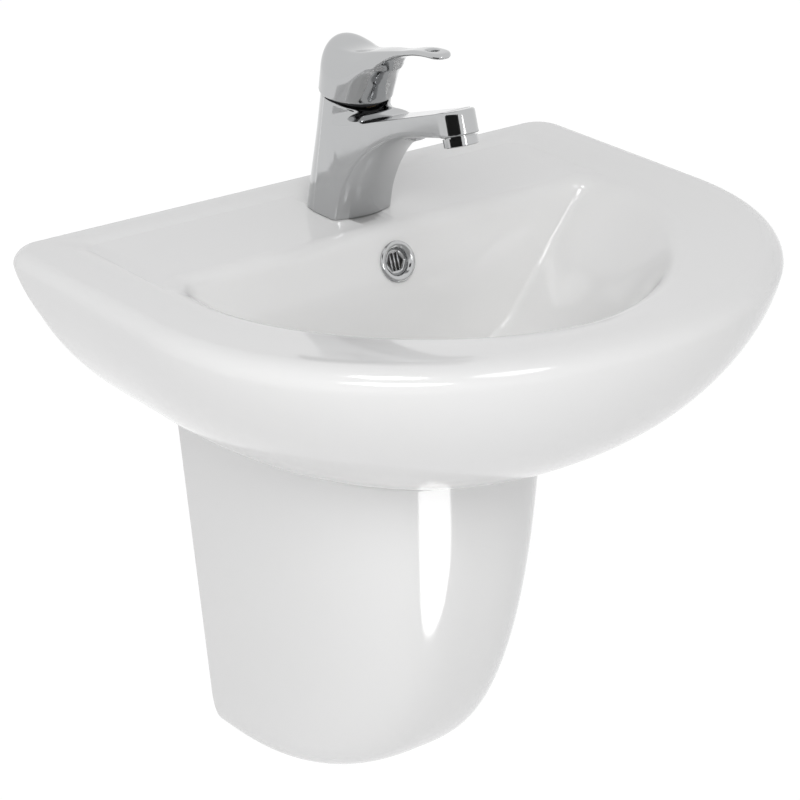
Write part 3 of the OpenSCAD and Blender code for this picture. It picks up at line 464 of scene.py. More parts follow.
def basin_rings():
    """Levels of the whole casting, from the bowl's floor over the rim and round to its underside."""
    rings = []
    for i in range(BOWL_RINGS, -1, -1):
        depth = BOWL_H * (i / BOWL_RINGS) ** 2
        rings.append(level(outline(*bowl(depth)), DECK_Z - CLEAR - depth * (BOWL_H - CLEAR) / BOWL_H))
    rings += [rim_ring((i / CROWN_RINGS) ** CROWN_CROWDING) for i in range(CROWN_RINGS + 1)]
    rings += [roll_ring(i) for i in range(1, ROLL_RINGS + 1)]
    rings += [belly_ring(i / BELLY_RINGS, 0) for i in range(1, BELLY_RINGS + 1)]
    rings += [belly_ring(i / INNER_RINGS, CERAMIC_T) for i in range(INNER_RINGS, 0, -1)]
    rings.append(level(outline(*grow(belly(0), -CERAMIC_T - ROOF_INSET)), ROOF_Z))
    rings.append(level(outline(*ROOF_EDGE), ROOF_Z))
    for depth in range(UNDER_FROM, BOWL_H, UNDER_STEP):
        rings.append(level(outline(*grow(bowl(depth), CERAMIC_T)), DECK_Z - depth * (1 + CERAMIC_T / BOWL_H)))
    rings.append(level(outline(*grow(bowl(BOWL_H), CERAMIC_T)), UNDER_Z))
    return rings


basin = make_piece("basin_casting", *skin(basin_rings()), "basin", "glaze")

# %% [markdown]
# Holes are made after casting, with a punch. A Boolean modifier does the same: it takes a cylinder away
# from the mesh. It is applied at once, and the cutter is removed, so that a plain mesh is left.

# %% Punching the holes
ROUND_SIDES = 96


def turned(origin, z_axis):
    """A matrix that carries +Z to z_axis at origin, in millimetres."""
    turn = Vector((0, 0, 1)).rotation_difference(Vector(z_axis)).to_matrix().to_4x4()
    return Matrix.Translation(Vector(origin) * MM) @ turn


def cylinder(radius, length, place):
    """A closed cylinder along +Z from place, sizes in millimetres."""
    data = bpy.data.meshes.new("cutter")
    shape = bmesh.new()
    bmesh.ops.create_cone(shape, cap_ends=True, segments=ROUND_SIDES, radius1=radius * MM,
                          radius2=radius * MM, depth=length * MM)
    bmesh.ops.translate(shape, verts=shape.verts, vec=(0, 0, length * MM / 2))
    shape.transform(place)
    shape.to_mesh(data)
    shape.free()
    cutter = bpy.data.objects.new("cutter", data)
    bpy.context.scene.collection.objects.link(cutter)
    return cutter


def apply_modifiers(piece):
    """Leaves the piece with the mesh that its modifiers give."""
    seen = piece.evaluated_get(bpy.context.evaluated_depsgraph_get())
    final = bpy.data.meshes.new_from_object(seen)
    piece.modifiers.clear()
    piece.data = final


def cut(piece, cutters):
    """Takes the cutters away from the piece."""
    for cutter in cutters:
        boolean = piece.modifiers.new("cut", "BOOLEAN")
        boolean.operation = "DIFFERENCE"
        boolean.object = cutter
        boolean.solver = "EXACT"
    apply_modifiers(piece)
    for cutter in cutters:
        bpy.data.objects.remove(cutter)


TAP_HOLE_R, WASTE_HOLE_R, OVERFLOW_HOLE_R, BOLT_HOLE_R = 17.5, 22.5, 11, 7.5
BOLT_HALF_SPACING = 140
PUNCH_L, OVERFLOW_PUNCH_L, BOLT_PUNCH_L, PUNCH_START = 40, 44, 24, 5
OVERFLOW_DROP, OVERFLOW_FLANGE_R = 24.5, 15
OVERFLOW_Z = DECK_Z - OVERFLOW_DROP
OVERFLOW_OUT = EDGE_BACK + inset_at(BACK, OVERFLOW_DROP)
OVERFLOW_TILT = math.atan2(inset_at(BACK, OVERFLOW_DROP + OVERFLOW_FLANGE_R)
                           - inset_at(BACK, OVERFLOW_DROP - OVERFLOW_FLANGE_R), 2 * OVERFLOW_FLANGE_R)
OVERFLOW_AXIS = Vector((0, -math.cos(OVERFLOW_TILT), math.sin(OVERFLOW_TILT)))
overflow_place = Vector((0, -OVERFLOW_OUT, OVERFLOW_Z))
cut(basin, [
    cylinder(TAP_HOLE_R, PUNCH_L, turned((0, -TAP_OUT, ROOF_Z - PUNCH_START), (0, 0, 1))),
    cylinder(WASTE_HOLE_R, PUNCH_L, turned((0, -WASTE_OUT, UNDER_Z - PUNCH_START), (0, 0, 1))),
    cylinder(OVERFLOW_HOLE_R, OVERFLOW_PUNCH_L,
             turned(overflow_place - OVERFLOW_AXIS * (OVERFLOW_PUNCH_L / 2), OVERFLOW_AXIS)),
    cylinder(BOLT_HOLE_R, BOLT_PUNCH_L, turned((-BOLT_HALF_SPACING, PUNCH_START, 0), (0, -1, 0))),
    cylinder(BOLT_HOLE_R, BOLT_PUNCH_L, turned((BOLT_HALF_SPACING, PUNCH_START, 0), (0, -1, 0))),
])
print("basin after punching:", len(basin.data.vertices), "points")

# %% [markdown]
# The overflow ring is a turned and plated piece: a flange with a rounded edge in front of a short tube. Three
# upright ribs stand in its six-sided opening. A lathe turns a closed line of points once round an axis.

# %% The overflow ring
HEXAGON_R, GRATE_R = 7.4, 9.5
RIB_HALF_T, RIB_HALF_L, RIB_SPACING = 0.6, 7.2, 3.2


def lathe(profile):
    """A closed profile, as (radius, height), turned once; a radius may be a function of the angle."""
    n = len(profile)
    points, faces = [], []
    for k in range(ROUND_SIDES):
        a = 2 * math.pi * k / ROUND_SIDES
        for r, h in profile:
            r = r(a) if callable(r) else r
            points.append((r * math.cos(a), r * math.sin(a), h))
        for i in range(n):
            here, after = k * n, (k + 1) % ROUND_SIDES * n
            faces.append((here + i, after + i, after + (i + 1) % n, here + (i + 1) % n))
    return points, faces


def box(low, high):
    """Points and faces of a box between two corners."""
    points = [(x, y, z) for x in (low[0], high[0]) for y in (low[1], high[1]) for z in (low[2], high[2])]
    return points, [(0, 1, 3, 2), (4, 6, 7, 5), (0, 4, 5, 1), (2, 3, 7, 6), (0, 2, 6, 4), (1, 5, 7, 3)]


def together(shapes):
    """Several shapes as one list of points and faces."""
    points, faces = [], []
    for some_points, some_faces in shapes:
        faces += [tuple(i + len(points) for i in f) for f in some_faces]
        points += some_points
    return points, faces


def hexagon(a):
    """Radius of the six-sided opening at an angle."""
    return HEXAGON_R * math.cos(math.pi / 6) / math.cos((a % (math.pi / 3)) - math.pi / 6)


TUBE = [(9.3, -16), (10.8, -16), (10.8, 0.1), (14.2, 0.1), (14.8, 0.4), (15, 1.0), (14.7, 1.7), (14, 2.2),
        (13, 2.4), (11.8, 2.2), (10.6, 1.5), (9.8, 0.5), (9.3, -0.6)]
GRATE = [(hexagon, -4.5), (GRATE_R, -4.5), (GRATE_R, -2), (hexagon, -2)]
ribs = [box((x - RIB_HALF_T, -RIB_HALF_L, -4.2), (x + RIB_HALF_T, RIB_HALF_L, -2.6))
        for x in (-RIB_SPACING, 0, RIB_SPACING)]
ring_points, ring_faces = together([lathe(TUBE), lathe(GRATE)] + ribs)
across, upward = Vector((1, 0, 0)), OVERFLOW_AXIS.cross(Vector((1, 0, 0)))
ring_points = [overflow_place + across * p[0] + upward * p[1] + OVERFLOW_AXIS * p[2] for p in ring_points]
overflow_ring = make_piece("overflow_ring_turned", ring_points, ring_faces, "overflow_ring", "chrome")

# %% [markdown]
# The half pedestal is an open shell: it has a front and two sides, no back, and closes in a rounded
# bottom. Its levels are the same D outlines, but only from the wall on one side round to the wall on the
# other, and an inner skin lies behind the outer one.

# %% The half pedestal
PED_JOINT = 0.3
PED_TOP_Z = LIP_Z - PED_JOINT
PED_H, PED_D, PED_T, PED_FOOT_OUT = 278, 228, 9, 86
PED_TOP_W, PED_FOOT_W = 224, 168.8
PED_CORNER_R = 32.4
PED_SIDES, PED_POWER, PED_BACK_CORNER_R = 5, 2.79, 4
PED_FRONT_POWER, PED_FRONT_END = 2.33, 0.998
TUCK_ROUND, TUCK_LOW, TUCK_LOW_POWER = 0.3, 7, 8
PED_LEVELS = 90
PED_EVEN, PED_STRETCH, PED_CROWDING = 0.75, 1.1, 1.7


def pedestal(u, inset):
    """Outline at the fraction u of the way down; the sides tuck in where the lower corners are round."""
    low = max(0, 1 - (1 - u) * PED_H / PED_CORNER_R)
    tuck = TUCK_ROUND * PED_CORNER_R * (1 - math.sqrt(1 - low * low)) + TUCK_LOW * low**TUCK_LOW_POWER
    reach = fall(min(u, PED_FRONT_END), PED_FRONT_POWER)
    front = PED_FOOT_OUT + (PED_D - PED_FOOT_OUT) * reach - inset
    return [(PED_TOP_W + (PED_FOOT_W - PED_TOP_W) * u) / 2 - tuck - inset, 0, front, PED_SIDES, PED_POWER,
            PED_BACK_CORNER_R]


def pedestal_level(j):
    """Levels crowd together where the lower end closes."""
    s = j / PED_LEVELS
    if s < PED_EVEN:
        return s * PED_STRETCH
    return 1 - (1 - PED_EVEN * PED_STRETCH) * ((1 - s) / (1 - PED_EVEN)) ** PED_CROWDING


def open_path(d, z):
    """One level of the shell, from the wall on one side round the front to the wall on the other."""
    return level(outline(*d)[BACK_POINTS:-BACK_POINTS + 1], z)


def half_shell(outer, inner):
    """Faces of an outer and an inner skin, joined along the top, at the wall and across the bottom."""
    m, levels = len(outer[0]), len(outer)
    back = m * levels
    low = back - m
    faces = []
    for j in range(levels - 1):
        for i in range(m - 1):
            a = j * m + i
            faces.append((a, a + 1, a + m + 1, a + m))
            faces.append((back + a, back + a + m, back + a + m + 1, back + a + 1))
        for a, b in ((j * m, j * m + m), (j * m + 2 * m - 1, j * m + m - 1)):
            faces.append((a, b, back + b, back + a))
    for i in range(m - 1):
        faces.append((i, back + i, back + i + 1, i + 1))
    faces.append((low + m - 1, back + low + m - 1, back + low, low))
    faces.append(tuple(low + i for i in range(m)))
    faces.append(tuple(back + low + i for i in reversed(range(m))))
    return np.vstack(outer + inner), faces


levels = [pedestal_level(j) for j in range(PED_LEVELS + 1)]
outer = [open_path(pedestal(u, 0), PED_TOP_Z - PED_H * u) for u in levels]
inner = [open_path(pedestal(u * (1 - PED_T / PED_H), PED_T), PED_TOP_Z - (PED_H - PED_T) * u) for u in levels]
half_pedestal = make_piece("half_pedestal_casting", *half_shell(outer, inner), "half_pedestal", "glaze")

# %% [markdown]
# On the real piece, two lugs inside the shell take the wall studs. They are short blocks that grow out of
# the side walls, so each one is a box with its stud hole, joined to the inner skin.

# %% Lugs inside the half pedestal
LUG_W, LUG_T, LUG_H = 44, 10, 30
LUG_X, LUG_OUT = 73, 4
STUD_HALF_SPACING, STUD_DROP = 55, 124
STUD_HOLE_R, STUD_PUNCH_L = 5, 30


def block(centre, size):
    """A closed box, sizes in millimetres."""
    data = bpy.data.meshes.new("block")
    shape = bmesh.new()
    bmesh.ops.create_cube(shape, size=1)
    bmesh.ops.scale(shape, verts=shape.verts, vec=[s * MM for s in size])
    bmesh.ops.translate(shape, verts=shape.verts, vec=[c * MM for c in centre])
    shape.to_mesh(data)
    shape.free()
    made = bpy.data.objects.new("block", data)
    bpy.context.scene.collection.objects.link(made)
    return made


def join(piece, others):
    """Unites other closed meshes with the piece."""
    for other in others:
        boolean = piece.modifiers.new("join", "BOOLEAN")
        boolean.operation = "UNION"
        boolean.object = other
        boolean.solver = "EXACT"
    apply_modifiers(piece)
    for other in others:
        bpy.data.objects.remove(other)


stud_z = LIP_Z - STUD_DROP
join(half_pedestal, [block((side * LUG_X, -LUG_T / 2 - LUG_OUT, stud_z), (LUG_W, LUG_T, LUG_H))
                     for side in (-1, 1)])
cut(half_pedestal, [cylinder(STUD_HOLE_R, STUD_PUNCH_L,
                             turned((side * STUD_HALF_SPACING, PUNCH_START, stud_z), (0, -1, 0)))
                    for side in (-1, 1)])
print("half pedestal:", len(half_pedestal.data.vertices), "points")

# %% [markdown]
# The tap is a brass casting whose column, foot and spout flow into each other. Such blends are hard to make
# from patches, so the casting is described as a distance field: a function that says, for any point in
# space, how far it is from the surface, and on which side. Fields are easy to join and to cut with a
# rounded edge. A net of small cells then finds the surface, and each point of the net is moved along the
# field's slope until it lies exactly on it, which is what a polished mirror surface needs.

# %% Distance fields
SLAB = 16
SETTLE_ROUNDS, SETTLE_REACH, LEAST_SLOPE = 3, 0.25, 0.2


def blend_max(a, b, k):
    """The larger of two fields, with the edge between them rounded over about k millimetres."""
    h = np.maximum(k - np.abs(a - b), 0) / k
    return np.maximum(a, b) + h * h * k * 0.25


def blend_min(a, b, k):
    """The smaller of two fields, with the inner corner between them filled over about k millimetres."""
    return -blend_max(-a, -b, k)


def round_rect(x, y, half_x, half_y, corner):
    """Distance to a rectangle with round corners; every size may differ from point to point."""
    qx, qy = np.abs(x) - half_x + corner, np.abs(y) - half_y + corner
    return np.minimum(np.maximum(qx, qy), 0) + np.hypot(np.maximum(qx, 0), np.maximum(qy, 0)) - corner


def net(field, low, high, step):
    """The surface where the field is zero, as points and four-sided faces that look outwards."""
    axes = [np.arange(a, b + step, step) for a, b in zip(low, high)]
    shape = [len(a) for a in axes]
    values = np.empty(shape, np.float32)
    for i in range(0, shape[0], SLAB):
        grid = np.meshgrid(axes[0][i:i + SLAB], axes[1], axes[2], indexing="ij")
        values[i:i + SLAB] = field(*grid)
    inside = values < 0
    corners = [inside[i:shape[0] - 1 + i, j:shape[1] - 1 + j, k:shape[2] - 1 + k]
               for i in (0, 1) for j in (0, 1) for k in (0, 1)]
    count = sum(c.astype(np.int8) for c in corners)
    cells = (count > 0) & (count < 8)
    index = np.full(cells.shape, -1)
    index[cells] = np.arange(cells.sum())
    place = np.argwhere(cells)
    total, found = np.zeros((len(place), 3)), np.zeros(len(place))
    for axis in range(3):
        for a in (0, 1):
            for b in (0, 1):
                start = np.insert([a, b], axis, 0)
                end = start.copy()
                end[axis] = 1
                v0 = values[tuple((place + start).T)]
                v1 = values[tuple((place + end).T)]
                crossing = (v0 < 0) != (v1 < 0)
                t = np.where(crossing, v0 / np.where(crossing, v0 - v1, 1), 0)
                total += np.where(crossing[:, None], start + (end - start) * t[:, None], 0)
                found += crossing
    points = (place + total / found[:, None]) * step + np.array([a[0] for a in axes])
    faces = []
    for axis in range(3):
        u, v = [d for d in range(3) if d != axis]
        size = list(shape)
        size[axis] -= 1
        lower = inside[tuple(slice(0, size[d]) for d in range(3))]
        upper = inside[tuple(slice(1, None) if d == axis else slice(0, size[d]) for d in range(3))]
        edges = np.argwhere(lower != upper)
        edges = edges[(edges[:, u] > 0) & (edges[:, v] > 0)]
        edges = edges[(edges[:, u] < shape[u] - 1) & (edges[:, v] < shape[v] - 1)]
        quad = []
        for a, b in ((0, 0), (1, 0), (1, 1), (0, 1)):
            cell = edges.copy()
            cell[:, u] -= a
            cell[:, v] -= b
            quad.append(index[tuple(cell.T)])
        quad = np.stack(quad, 1)
        flip = lower[tuple(edges.T)] == (axis == 1)
        quad[flip] = quad[flip][:, ::-1]
        faces.append(quad)
    return settle(field, points), np.vstack(faces)


def settle(field, points):
    """Moves points along the field's slope on to the surface."""
    reach = SETTLE_REACH
    for _ in range(SETTLE_ROUNDS):
        value = field(*points.T)
        slope = np.stack([(field(*(points + reach * e).T) - field(*(points - reach * e).T)) / (2 * reach)
                          for e in np.eye(3)], 1)
        points = points - slope * (value / np.maximum((slope**2).sum(1), LEAST_SLOPE))[:, None]
    return points


# %% [markdown]
# The tap body's own frame: f runs forward from the middle of the foot, u runs up from the deck, and the
# column leans forward. Its foot is a square of 50 with round back corners, which turns into a round column
# on the way up to the seam, where the lever sits. The spout has a flat top that rises forward, sides that
# taper to a round tip, and an arch below. Along the leaning axis runs the bore for the cartridge.

# %% The tap body as a field
FOOT_HALF_W, FOOT_BACK, FOOT_FRONT = 25, -22, 24
FOOT_LIFT, FOOT_WALL, GASKET_T = 0.3, 2.5, 1.5
FOOT_BACK_CORNER_R, FOOT_FRONT_CORNER_R, CORNER_HASTE = 20, 4, 1.15
FOOT_EDGE_R, SEAM_EDGE_R = 0.6, 1
LEAN = math.radians(9)
AXIS_OUT = 2.4
SEAM_H, TOP_R = 88, 24.5
SPOUT_RISE = math.radians(18)
SPOUT_F, SPOUT_U = 40.3, 75.0
SPOUT_L, SPOUT_R, SPOUT_H = 94, 13, 17
ARCH_UP = -18
ARCH_MID_R, ARCH_SIDE_R = 97, 103
UNDER_FROM_L, UNDER_R = 47, 5
SPOUT_EDGE_R, SPOUT_FACE_R, SPOUT_BACK, SPOUT_ROOT_R = 1.6, 1, 2, 4
TIP_EDGE_R, TIP_UNDER_R, TIP_JOIN_R = 2.4, 1, 1.5
RAMP_FROM, RAMP_L, RAMP_H = 3.6, 9.4, 10
RIM_FROM, RIM_FALL = 8, 0.13
BORE_R, NUT_BORE_R = 17.6, 20.5
NUT_SEAT, CARTRIDGE_H, CARTRIDGE_BASE_H = 10, 36, 5.4
MOUTH_R, MOUTH_DEPTH = 10.6, 9
DEEP = -50


def tap_frame(y, z):
    """f and u of points, then their place in front of the leaning axis and up along it."""
    f, u = -y - TAP_OUT, z - DECK_Z
    ahead, up = f - AXIS_OUT, u - GASKET_T
    w = up * math.cos(LEAN) + ahead * math.sin(LEAN)
    g = ahead * math.cos(LEAN) - up * math.sin(LEAN)
    return f, u, g, w


def spout_frame(f, u):
    """Place along the spout's flat top, and height over it."""
    a, b = f - SPOUT_F, u - SPOUT_U
    cosine, sine = math.cos(SPOUT_RISE), math.sin(SPOUT_RISE)
    return a * cosine + b * sine, b * cosine - a * sine


def column(x, u, g, w):
    """Foot and column: a square that becomes a circle."""
    over, under = np.maximum(u - GASKET_T, 0), np.maximum(SEAM_H - w, 0)
    t = over / (over + under + 1e-6)
    soft = ease(t * CORNER_HASTE)
    half_f = (FOOT_FRONT - FOOT_BACK) / 2
    foot_mid = (FOOT_FRONT + FOOT_BACK) / 2
    along = g + (AXIS_OUT - foot_mid) * (1 - t)
    corner = np.where(along < 0, FOOT_BACK_CORNER_R + (TOP_R - FOOT_BACK_CORNER_R) * soft,
                      FOOT_FRONT_CORNER_R + (TOP_R - FOOT_FRONT_CORNER_R) * soft)
    half_x = FOOT_HALF_W + (TOP_R - FOOT_HALF_W) * t
    half_y = half_f + (TOP_R - half_f) * t
    return round_rect(x, along, half_x, half_y, np.minimum(corner, np.minimum(half_x, half_y)))


def spout_field(x, f, u, g):
    """The spout: top, arch, tapering sides and round tip."""
    along, over = spout_frame(f, u)
    taper = np.clip((f - FOOT_FRONT) / (SPOUT_F + SPOUT_L * math.cos(SPOUT_RISE) - FOOT_FRONT), 0, 1)
    half = FOOT_HALF_W + (SPOUT_R - FOOT_HALF_W) * taper
    flank = np.abs(x) - half
    radius = ARCH_MID_R + (ARCH_SIDE_R - ARCH_MID_R) * np.clip(x / half, -1, 1) ** 2
    centre = FOOT_FRONT + math.sqrt(ARCH_SIDE_R**2 - ARCH_UP**2)
    arch = radius - np.hypot(f - centre, u - ARCH_UP)
    under = -(over + SPOUT_H)
    below = np.where(along > UNDER_FROM_L, blend_max(arch, under, UNDER_R), arch)
    ramp = over - RAMP_H * np.clip(1 - (along - RAMP_FROM) / RAMP_L, 0, 1.5) ** 2
    side = flank + (np.hypot(x, g) - TOP_R - flank) * ease(over / RAMP_H)
    spout = blend_max(blend_max(side, ramp, SPOUT_EDGE_R), below, SPOUT_EDGE_R)
    spout = blend_max(spout, along - SPOUT_L, SPOUT_FACE_R)
    spout = np.maximum(spout, -g - SPOUT_BACK)
    tip = np.hypot(x, along - SPOUT_L) - SPOUT_R
    tip = blend_max(blend_max(tip, over, TIP_EDGE_R), under, TIP_UNDER_R)
    return blend_min(spout, tip, TIP_JOIN_R)


def seam_field(along, g, w):
    """Cuts column and spout root at the seam under the lever, and nothing further along the spout."""
    rim = w - SEAM_H + RIM_FALL * np.clip(g - RIM_FROM, 0, TOP_R - RIM_FROM)
    return np.where((along < RAMP_FROM + RAMP_L) | (g < TOP_R + 1), rim, DEEP)


def tap_body(x, y, z):
    """Column, spout and foot, less the hollow foot, the cartridge's bore and the spout's mouth."""
    f, u, g, w = tap_frame(y, z)
    along, over = spout_frame(f, u)
    walls = column(x, u, g, w)
    seam = seam_field(along, g, w)
    spout = np.maximum(spout_field(x, f, u, g), seam)
    body = blend_max(blend_min(walls, spout, SPOUT_ROOT_R), seam, SEAM_EDGE_R)
    body = blend_max(body, FOOT_LIFT - u, FOOT_EDGE_R)
    body = np.maximum(body, -np.maximum(walls + FOOT_WALL, u - GASKET_T))
    bore = np.hypot(x, g)
    floor = SEAM_H - NUT_SEAT - CARTRIDGE_H - CARTRIDGE_BASE_H
    body = np.maximum(body, -np.maximum(bore - BORE_R, floor - w))
    body = np.maximum(body, -np.maximum(bore - NUT_BORE_R, SEAM_H - NUT_SEAT - w))
    mouth = np.hypot(x, along - SPOUT_L)
    return np.maximum(body, -np.maximum(mouth - MOUTH_R, over + SPOUT_H - MOUTH_DEPTH))


BODY_LOW, BODY_HIGH, BODY_STEP = (-27, -208, 66), (27, -34, 174), 0.9
points, faces = net(tap_body, BODY_LOW, BODY_HIGH, BODY_STEP)
body = make_piece("tap_body_casting", points, faces, "tap_body", "chrome")

# %% [markdown]
# The lever is a hollow cap with an arm. The cap is a round skirt under a dome that is high at the back and
# runs forward into the arm, which narrows, widens again at its tip and has an oval hole there. It is a
# field too, measured from the seam: g runs forward and w up along the leaning axis. Inside the cap, a boss
# with a square socket takes the stem of the cartridge, and a grub screw from behind holds it.

# %% The lever as a field
SKIRT_R, SKIRT_T, SKIRT_GAP = 26.3, 2.4, 1.25
TOP_H, TOP_EDGE_R = 31.8, 16.6
TOP_FALL = math.radians(23.4)
NECK_F, NECK_H = 10.9, 35
ARM_L, ARM_T, ARM_TIP_R = 87.8, 4.0, 9
HOLE_AT, HOLE_HALF_L, HOLE_R = 74, 1.5, 4
ARM_RISE = math.radians(25.2)
DROOP_FROM, DROOP = 55, 0.005
SKIRT_SLANT, SLANT_FROM, SKIRT_EDGE_R = math.radians(4.6), -2, 0.8
REACH, REACH_SLOPE, REACH_H = 26.8, 0.255, 40
NECK_REACH, NECK_FROM, NECK_RISE, NECK_MOST = 3.2, 20, 10.8, 1.3
NECK_R, CROWN = 14, 3
ARM_HALF_W, ARM_ROOT_MORE, ARM_TIP_MORE = 7.2, 6.5, 2.2
ARM_ROOT_AT, ARM_TIP_AT, ARM_CHANGE_L = 12, 44, 32
ARM_PLAN_R, ARM_EDGE_R, ARM_START, ARM_ROOT_R = 3, 2.2, -16, 9
HOLLOW_H, HOLLOW_TOP, HOLLOW_CONE = 12, 28, 0.62
BOSS_R, BOSS_LOW, BOSS_TOP = 8.6, 11, 30
SOCKET_HALF_W, SOCKET_TOP = 4.05, 24.1
SCREW_H, SCREW_R, HOLE_EDGE_R = 18, 3.05, 1


def shaft(x, g, w):
    """The boss inside the cap, its square socket and the hole of the grub screw."""
    boss = np.maximum(np.maximum(np.hypot(x, g) - BOSS_R, BOSS_LOW - w), w - BOSS_TOP)
    socket = np.maximum(np.maximum(np.abs(x), np.abs(g)) - SOCKET_HALF_W, w - SOCKET_TOP)
    screw = np.maximum(np.hypot(x, w - SCREW_H) - SCREW_R, g)
    return boss, socket, screw


def lever(x, y, z):
    """Cap and arm, less the hollow of the cap; the boss is put back, and its socket and screw hole cut."""
    g, w = tap_frame(y, z)[2:]
    w = w - SEAM_H
    reach = REACH + REACH_SLOPE * np.clip(w, 0, REACH_H)
    reach = reach + NECK_REACH * np.clip((w - NECK_FROM) / NECK_RISE, 0, NECK_MOST) ** 2
    round_wall = np.hypot(x, np.where(g > 0, g * SKIRT_R / reach, g)) - SKIRT_R
    along = (g - NECK_F) * math.cos(ARM_RISE) + (w - NECK_H) * math.sin(ARM_RISE)
    over = (w - NECK_H) * math.cos(ARM_RISE) - (g - NECK_F) * math.sin(ARM_RISE)
    over = over + DROOP * np.maximum(along - DROOP_FROM, 0) ** 2
    top = blend_min((w - TOP_H) * math.cos(TOP_FALL) + g * math.sin(TOP_FALL), over, NECK_R)
    cap = blend_max(round_wall, top + CROWN * (x / SKIRT_R) ** 2, TOP_EDGE_R)
    half = ARM_HALF_W + ARM_ROOT_MORE * ease(1 - (along - ARM_ROOT_AT) / ARM_CHANGE_L)
    half = half + ARM_TIP_MORE * ease((along - ARM_TIP_AT) / ARM_CHANGE_L)
    end = np.hypot(np.maximum(along - (ARM_L - ARM_TIP_R), 0), x) - ARM_TIP_R
    plan = blend_max(np.abs(x) - half, end, ARM_PLAN_R)
    plate = blend_max(plan, np.abs(over + ARM_T / 2) - ARM_T / 2, ARM_EDGE_R)
    plate = np.maximum(plate, ARM_START - along)
    solid = blend_min(cap, plate, ARM_ROOT_R)
    edge = SKIRT_GAP + np.maximum(g - SLANT_FROM, 0) * math.tan(SKIRT_SLANT)
    solid = blend_max(solid, edge - w, SKIRT_EDGE_R)
    inner = np.hypot(x, g) - (SKIRT_R - SKIRT_T)
    cone = inner + (w - HOLLOW_H) * HOLLOW_CONE
    upper = np.maximum(np.maximum(cone, w - HOLLOW_TOP), HOLLOW_H - w - 0.1)
    hollow = np.minimum(np.maximum(inner, w - HOLLOW_H), upper)
    hollow = np.maximum(hollow, cap + SKIRT_T)
    boss, socket, screw = shaft(x, g, w)
    solid = np.minimum(np.maximum(solid, -hollow), boss)
    solid = np.maximum(np.maximum(solid, -socket), -screw)
    spot = np.clip(along, HOLE_AT - HOLE_HALF_L, HOLE_AT + HOLE_HALF_L)
    hole = np.hypot(along - spot, x) - HOLE_R
    return blend_max(solid, -hole, HOLE_EDGE_R)


LEVER_LOW, LEVER_HIGH, LEVER_STEP = (-28, -202, 146), (28, -44, 216), 0.8
points, faces = net(lever, LEVER_LOW, LEVER_HIGH, LEVER_STEP)
handle = make_piece("lever_casting", points, faces, "lever_handle", "chrome")

# %% [markdown]
# A product stands out on white. The floor and the world look white to the camera and in reflections,
# through a Light Path node, while the light that falls on the ceramic stays at a plain level.

# %% Floor and world
WHITE = (1.0, 1.0, 1.0, 1)
FLOOR_Z_M, FLOOR_SIZE_M = -0.85, 12
FLOOR_GLOW, FLOOR_GLOW_SHARE = 1.07, 0.9
SOFT_WHITE, SOFT_STRENGTH = (0.98, 0.98, 1.0, 1), 0.55


def seen_directly(tree):
    """1 for rays from the camera, mirrors and glass, and 0 for the soft light that falls on things."""
    path = tree.nodes.new("ShaderNodeLightPath")
    first = tree.nodes.new("ShaderNodeMath")
    first.operation = "MAXIMUM"
    second = tree.nodes.new("ShaderNodeMath")
    second.operation = "MAXIMUM"
    tree.links.new(path.outputs["Is Camera Ray"], first.inputs[0])
    tree.links.new(path.outputs["Is Glossy Ray"], first.inputs[1])
    tree.links.new(first.outputs[0], second.inputs[0])
    tree.links.new(path.outputs["Is Transmission Ray"], second.inputs[1])
    return second.outputs[0]


world = bpy.data.worlds.new("studio")
bpy.context.scene.world = world
world.use_nodes = True
tree = world.node_tree
soft = tree.nodes["Background"]
soft.inputs["Color"].default_value = SOFT_WHITE
soft.inputs["Strength"].default_value = SOFT_STRENGTH
plain = tree.nodes.new("ShaderNodeBackground")
plain.inputs["Color"].default_value = WHITE
choose = tree.nodes.new("ShaderNodeMixShader")
tree.links.new(seen_directly(tree), choose.inputs["Fac"])
tree.links.new(soft.outputs["Background"], choose.inputs[1])
tree.links.new(plain.outputs["Background"], choose.inputs[2])
tree.links.new(choose.outputs["Shader"], tree.nodes["World Output"].inputs["Surface"])

bpy.ops.mesh.primitive_plane_add(size=FLOOR_SIZE_M, location=(0, 0, FLOOR_Z_M))
floor = bpy.context.object
floor.name = "floor"
floor_paint = material("floor_paint", (0.85, 0.85, 0.85), Roughness=0.9)
tree = floor_paint.node_tree
glow = tree.nodes.new("ShaderNodeEmission")
glow.inputs["Color"].default_value = WHITE
glow.inputs["Strength"].default_value = FLOOR_GLOW
lit = tree.nodes.new("ShaderNodeMixShader")
share = tree.nodes.new("ShaderNodeMath")
share.operation = "MULTIPLY"
share.inputs[1].default_value = FLOOR_GLOW_SHARE
tree.links.new(seen_directly(tree), share.inputs[0])
tree.links.new(share.outputs[0], lit.inputs["Fac"])
tree.links.new(tree.nodes["Principled BSDF"].outputs["BSDF"], lit.inputs[1])
tree.links.new(glow.outputs["Emission"], lit.inputs[2])
tree.links.new(lit.outputs["Shader"], tree.nodes["Material Output"].inputs["Surface"])
floor.data.materials.append(floor_paint)
print("floor at", FLOOR_Z_M, "m, world strength", SOFT_STRENGTH)

# %% [markdown]
# Wide soft boxes light the ceramic evenly from the camera's side, and mirrors do not see them. The clean
# highlights of a glaze come from a few smaller panels that only mirrors see, and each panel is linked to the
# pieces that it is meant for: two above for the rim, one overhead for the valleys of the bowl, one low in
# front for the bright line on the pedestal, and one for the tap. Chrome shows mostly what stands round it, so
# a black card beside the spout gives its tip a dark patch. Each lamp has its azimuth, elevation and distance,
# then its width, height and watts.

# %% Lamps and cards


def facing(made, azimuth, elevation, distance, centre=TARGET):
    """Puts a lamp or a card round a centre and turns it to face that centre."""
    made.location = from_target(azimuth, elevation, distance) - TARGET + centre
    made.rotation_euler = (centre - made.location).to_track_quat("-Z", "Y").to_euler()
    made.visible_camera = False
    return made


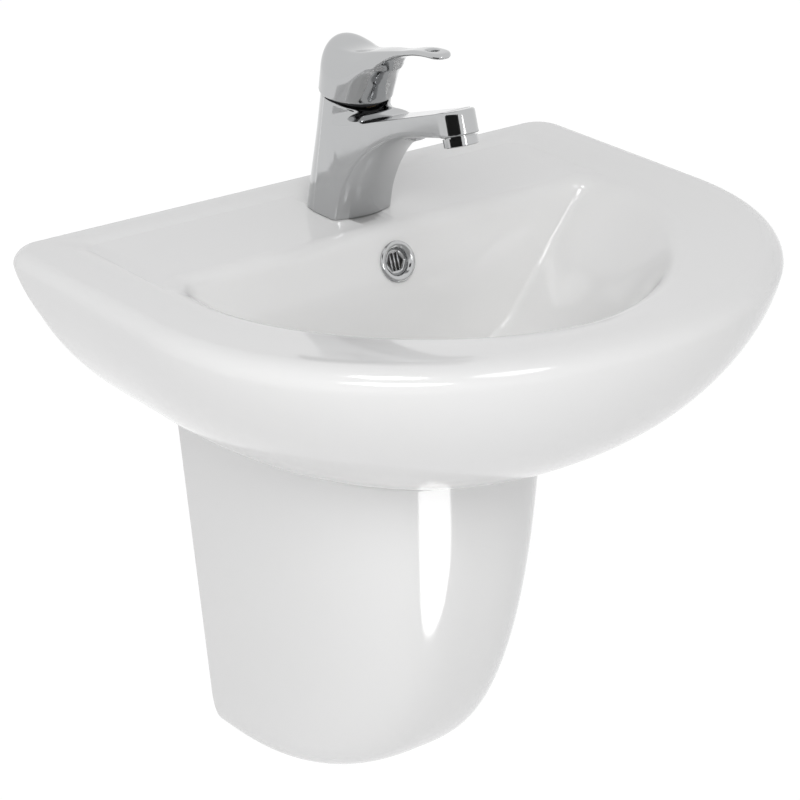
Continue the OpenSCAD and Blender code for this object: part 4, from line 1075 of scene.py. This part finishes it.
def softbox(name, azimuth, elevation, distance, width, height, watts):
    """An oval lamp that faces the middle of the object."""
    data = bpy.data.lights.new(name, "AREA")
    data.shape = "ELLIPSE"
    data.size, data.size_y = width, height
    data.energy = watts
    lamp = bpy.data.objects.new(name, data)
    bpy.context.scene.collection.objects.link(lamp)
    return facing(lamp, azimuth, elevation, distance)


def fill(*where):
    """A lamp that lights the pieces but shows in no mirror."""
    softbox(*where).visible_glossy = False


def highlight(pieces, name, *where):
    """A panel that shows only as a reflection, and only in the pieces that are named."""
    lamp = softbox(name, *where)
    lamp.visible_diffuse = False
    lit = bpy.data.collections.new(name + "_pieces")
    for piece in pieces:
        lit.objects.link(piece)
    lamp.light_linking.receiver_collection = lit


def card(name, azimuth, elevation, distance, width, height, centre):
    """A black card that shows only as a reflection."""
    bpy.ops.mesh.primitive_plane_add(size=1)
    made = facing(bpy.context.object, azimuth, elevation, distance, centre)
    made.name = name
    made.scale = (width, height, 1)
    made.visible_diffuse = False
    made.visible_shadow = False
    made.data.materials.append(card_paint)


fill("key_fill", 37, 36, 2.4, 1.4, 0.8, 19.3)
fill("front_fill", 20, -20, 2.2, 1.2, 0.8, 10)
fill("left_fill", 95, 5, 2.4, 1.4, 1.4, 6)
fill("top_fill", 20, 68, 2.0, 0.8, 0.8, 2.5)
highlight([basin], "side_panel", -12, 55, 2.0, 0.6, 0.6, 5)
highlight([basin], "rim_panel", 37, 35, 2.0, 1.1, 0.5, 13)
highlight([basin], "valley_panel", 40, 66, 2.0, 0.6, 0.5, 9)
highlight([half_pedestal], "pedestal_panel", 4, -32, 0.75, 0.42, 0.56, 4.5)
chromed = [body, handle, nodes["aerator_housing"], overflow_ring]
highlight(chromed, "tap_panel", 4, 13, 2.0, 0.3, 0.5, 3)
card_paint = material("card_paint", (0.02, 0.02, 0.02), Roughness=1.0)
SPOUT_TIP = Vector((0, -0.19, 0.16))
card("spout_card", 68, 2, 0.09, 0.14, 0.075, SPOUT_TIP)
print("lamps:", len(bpy.data.lights))

# %% [markdown]
# The Standard view shows a colour as it was written, so white stays white.

# %% View
bpy.context.scene.view_settings.view_transform = "Standard"
print("view:", bpy.context.scene.view_settings.view_transform)
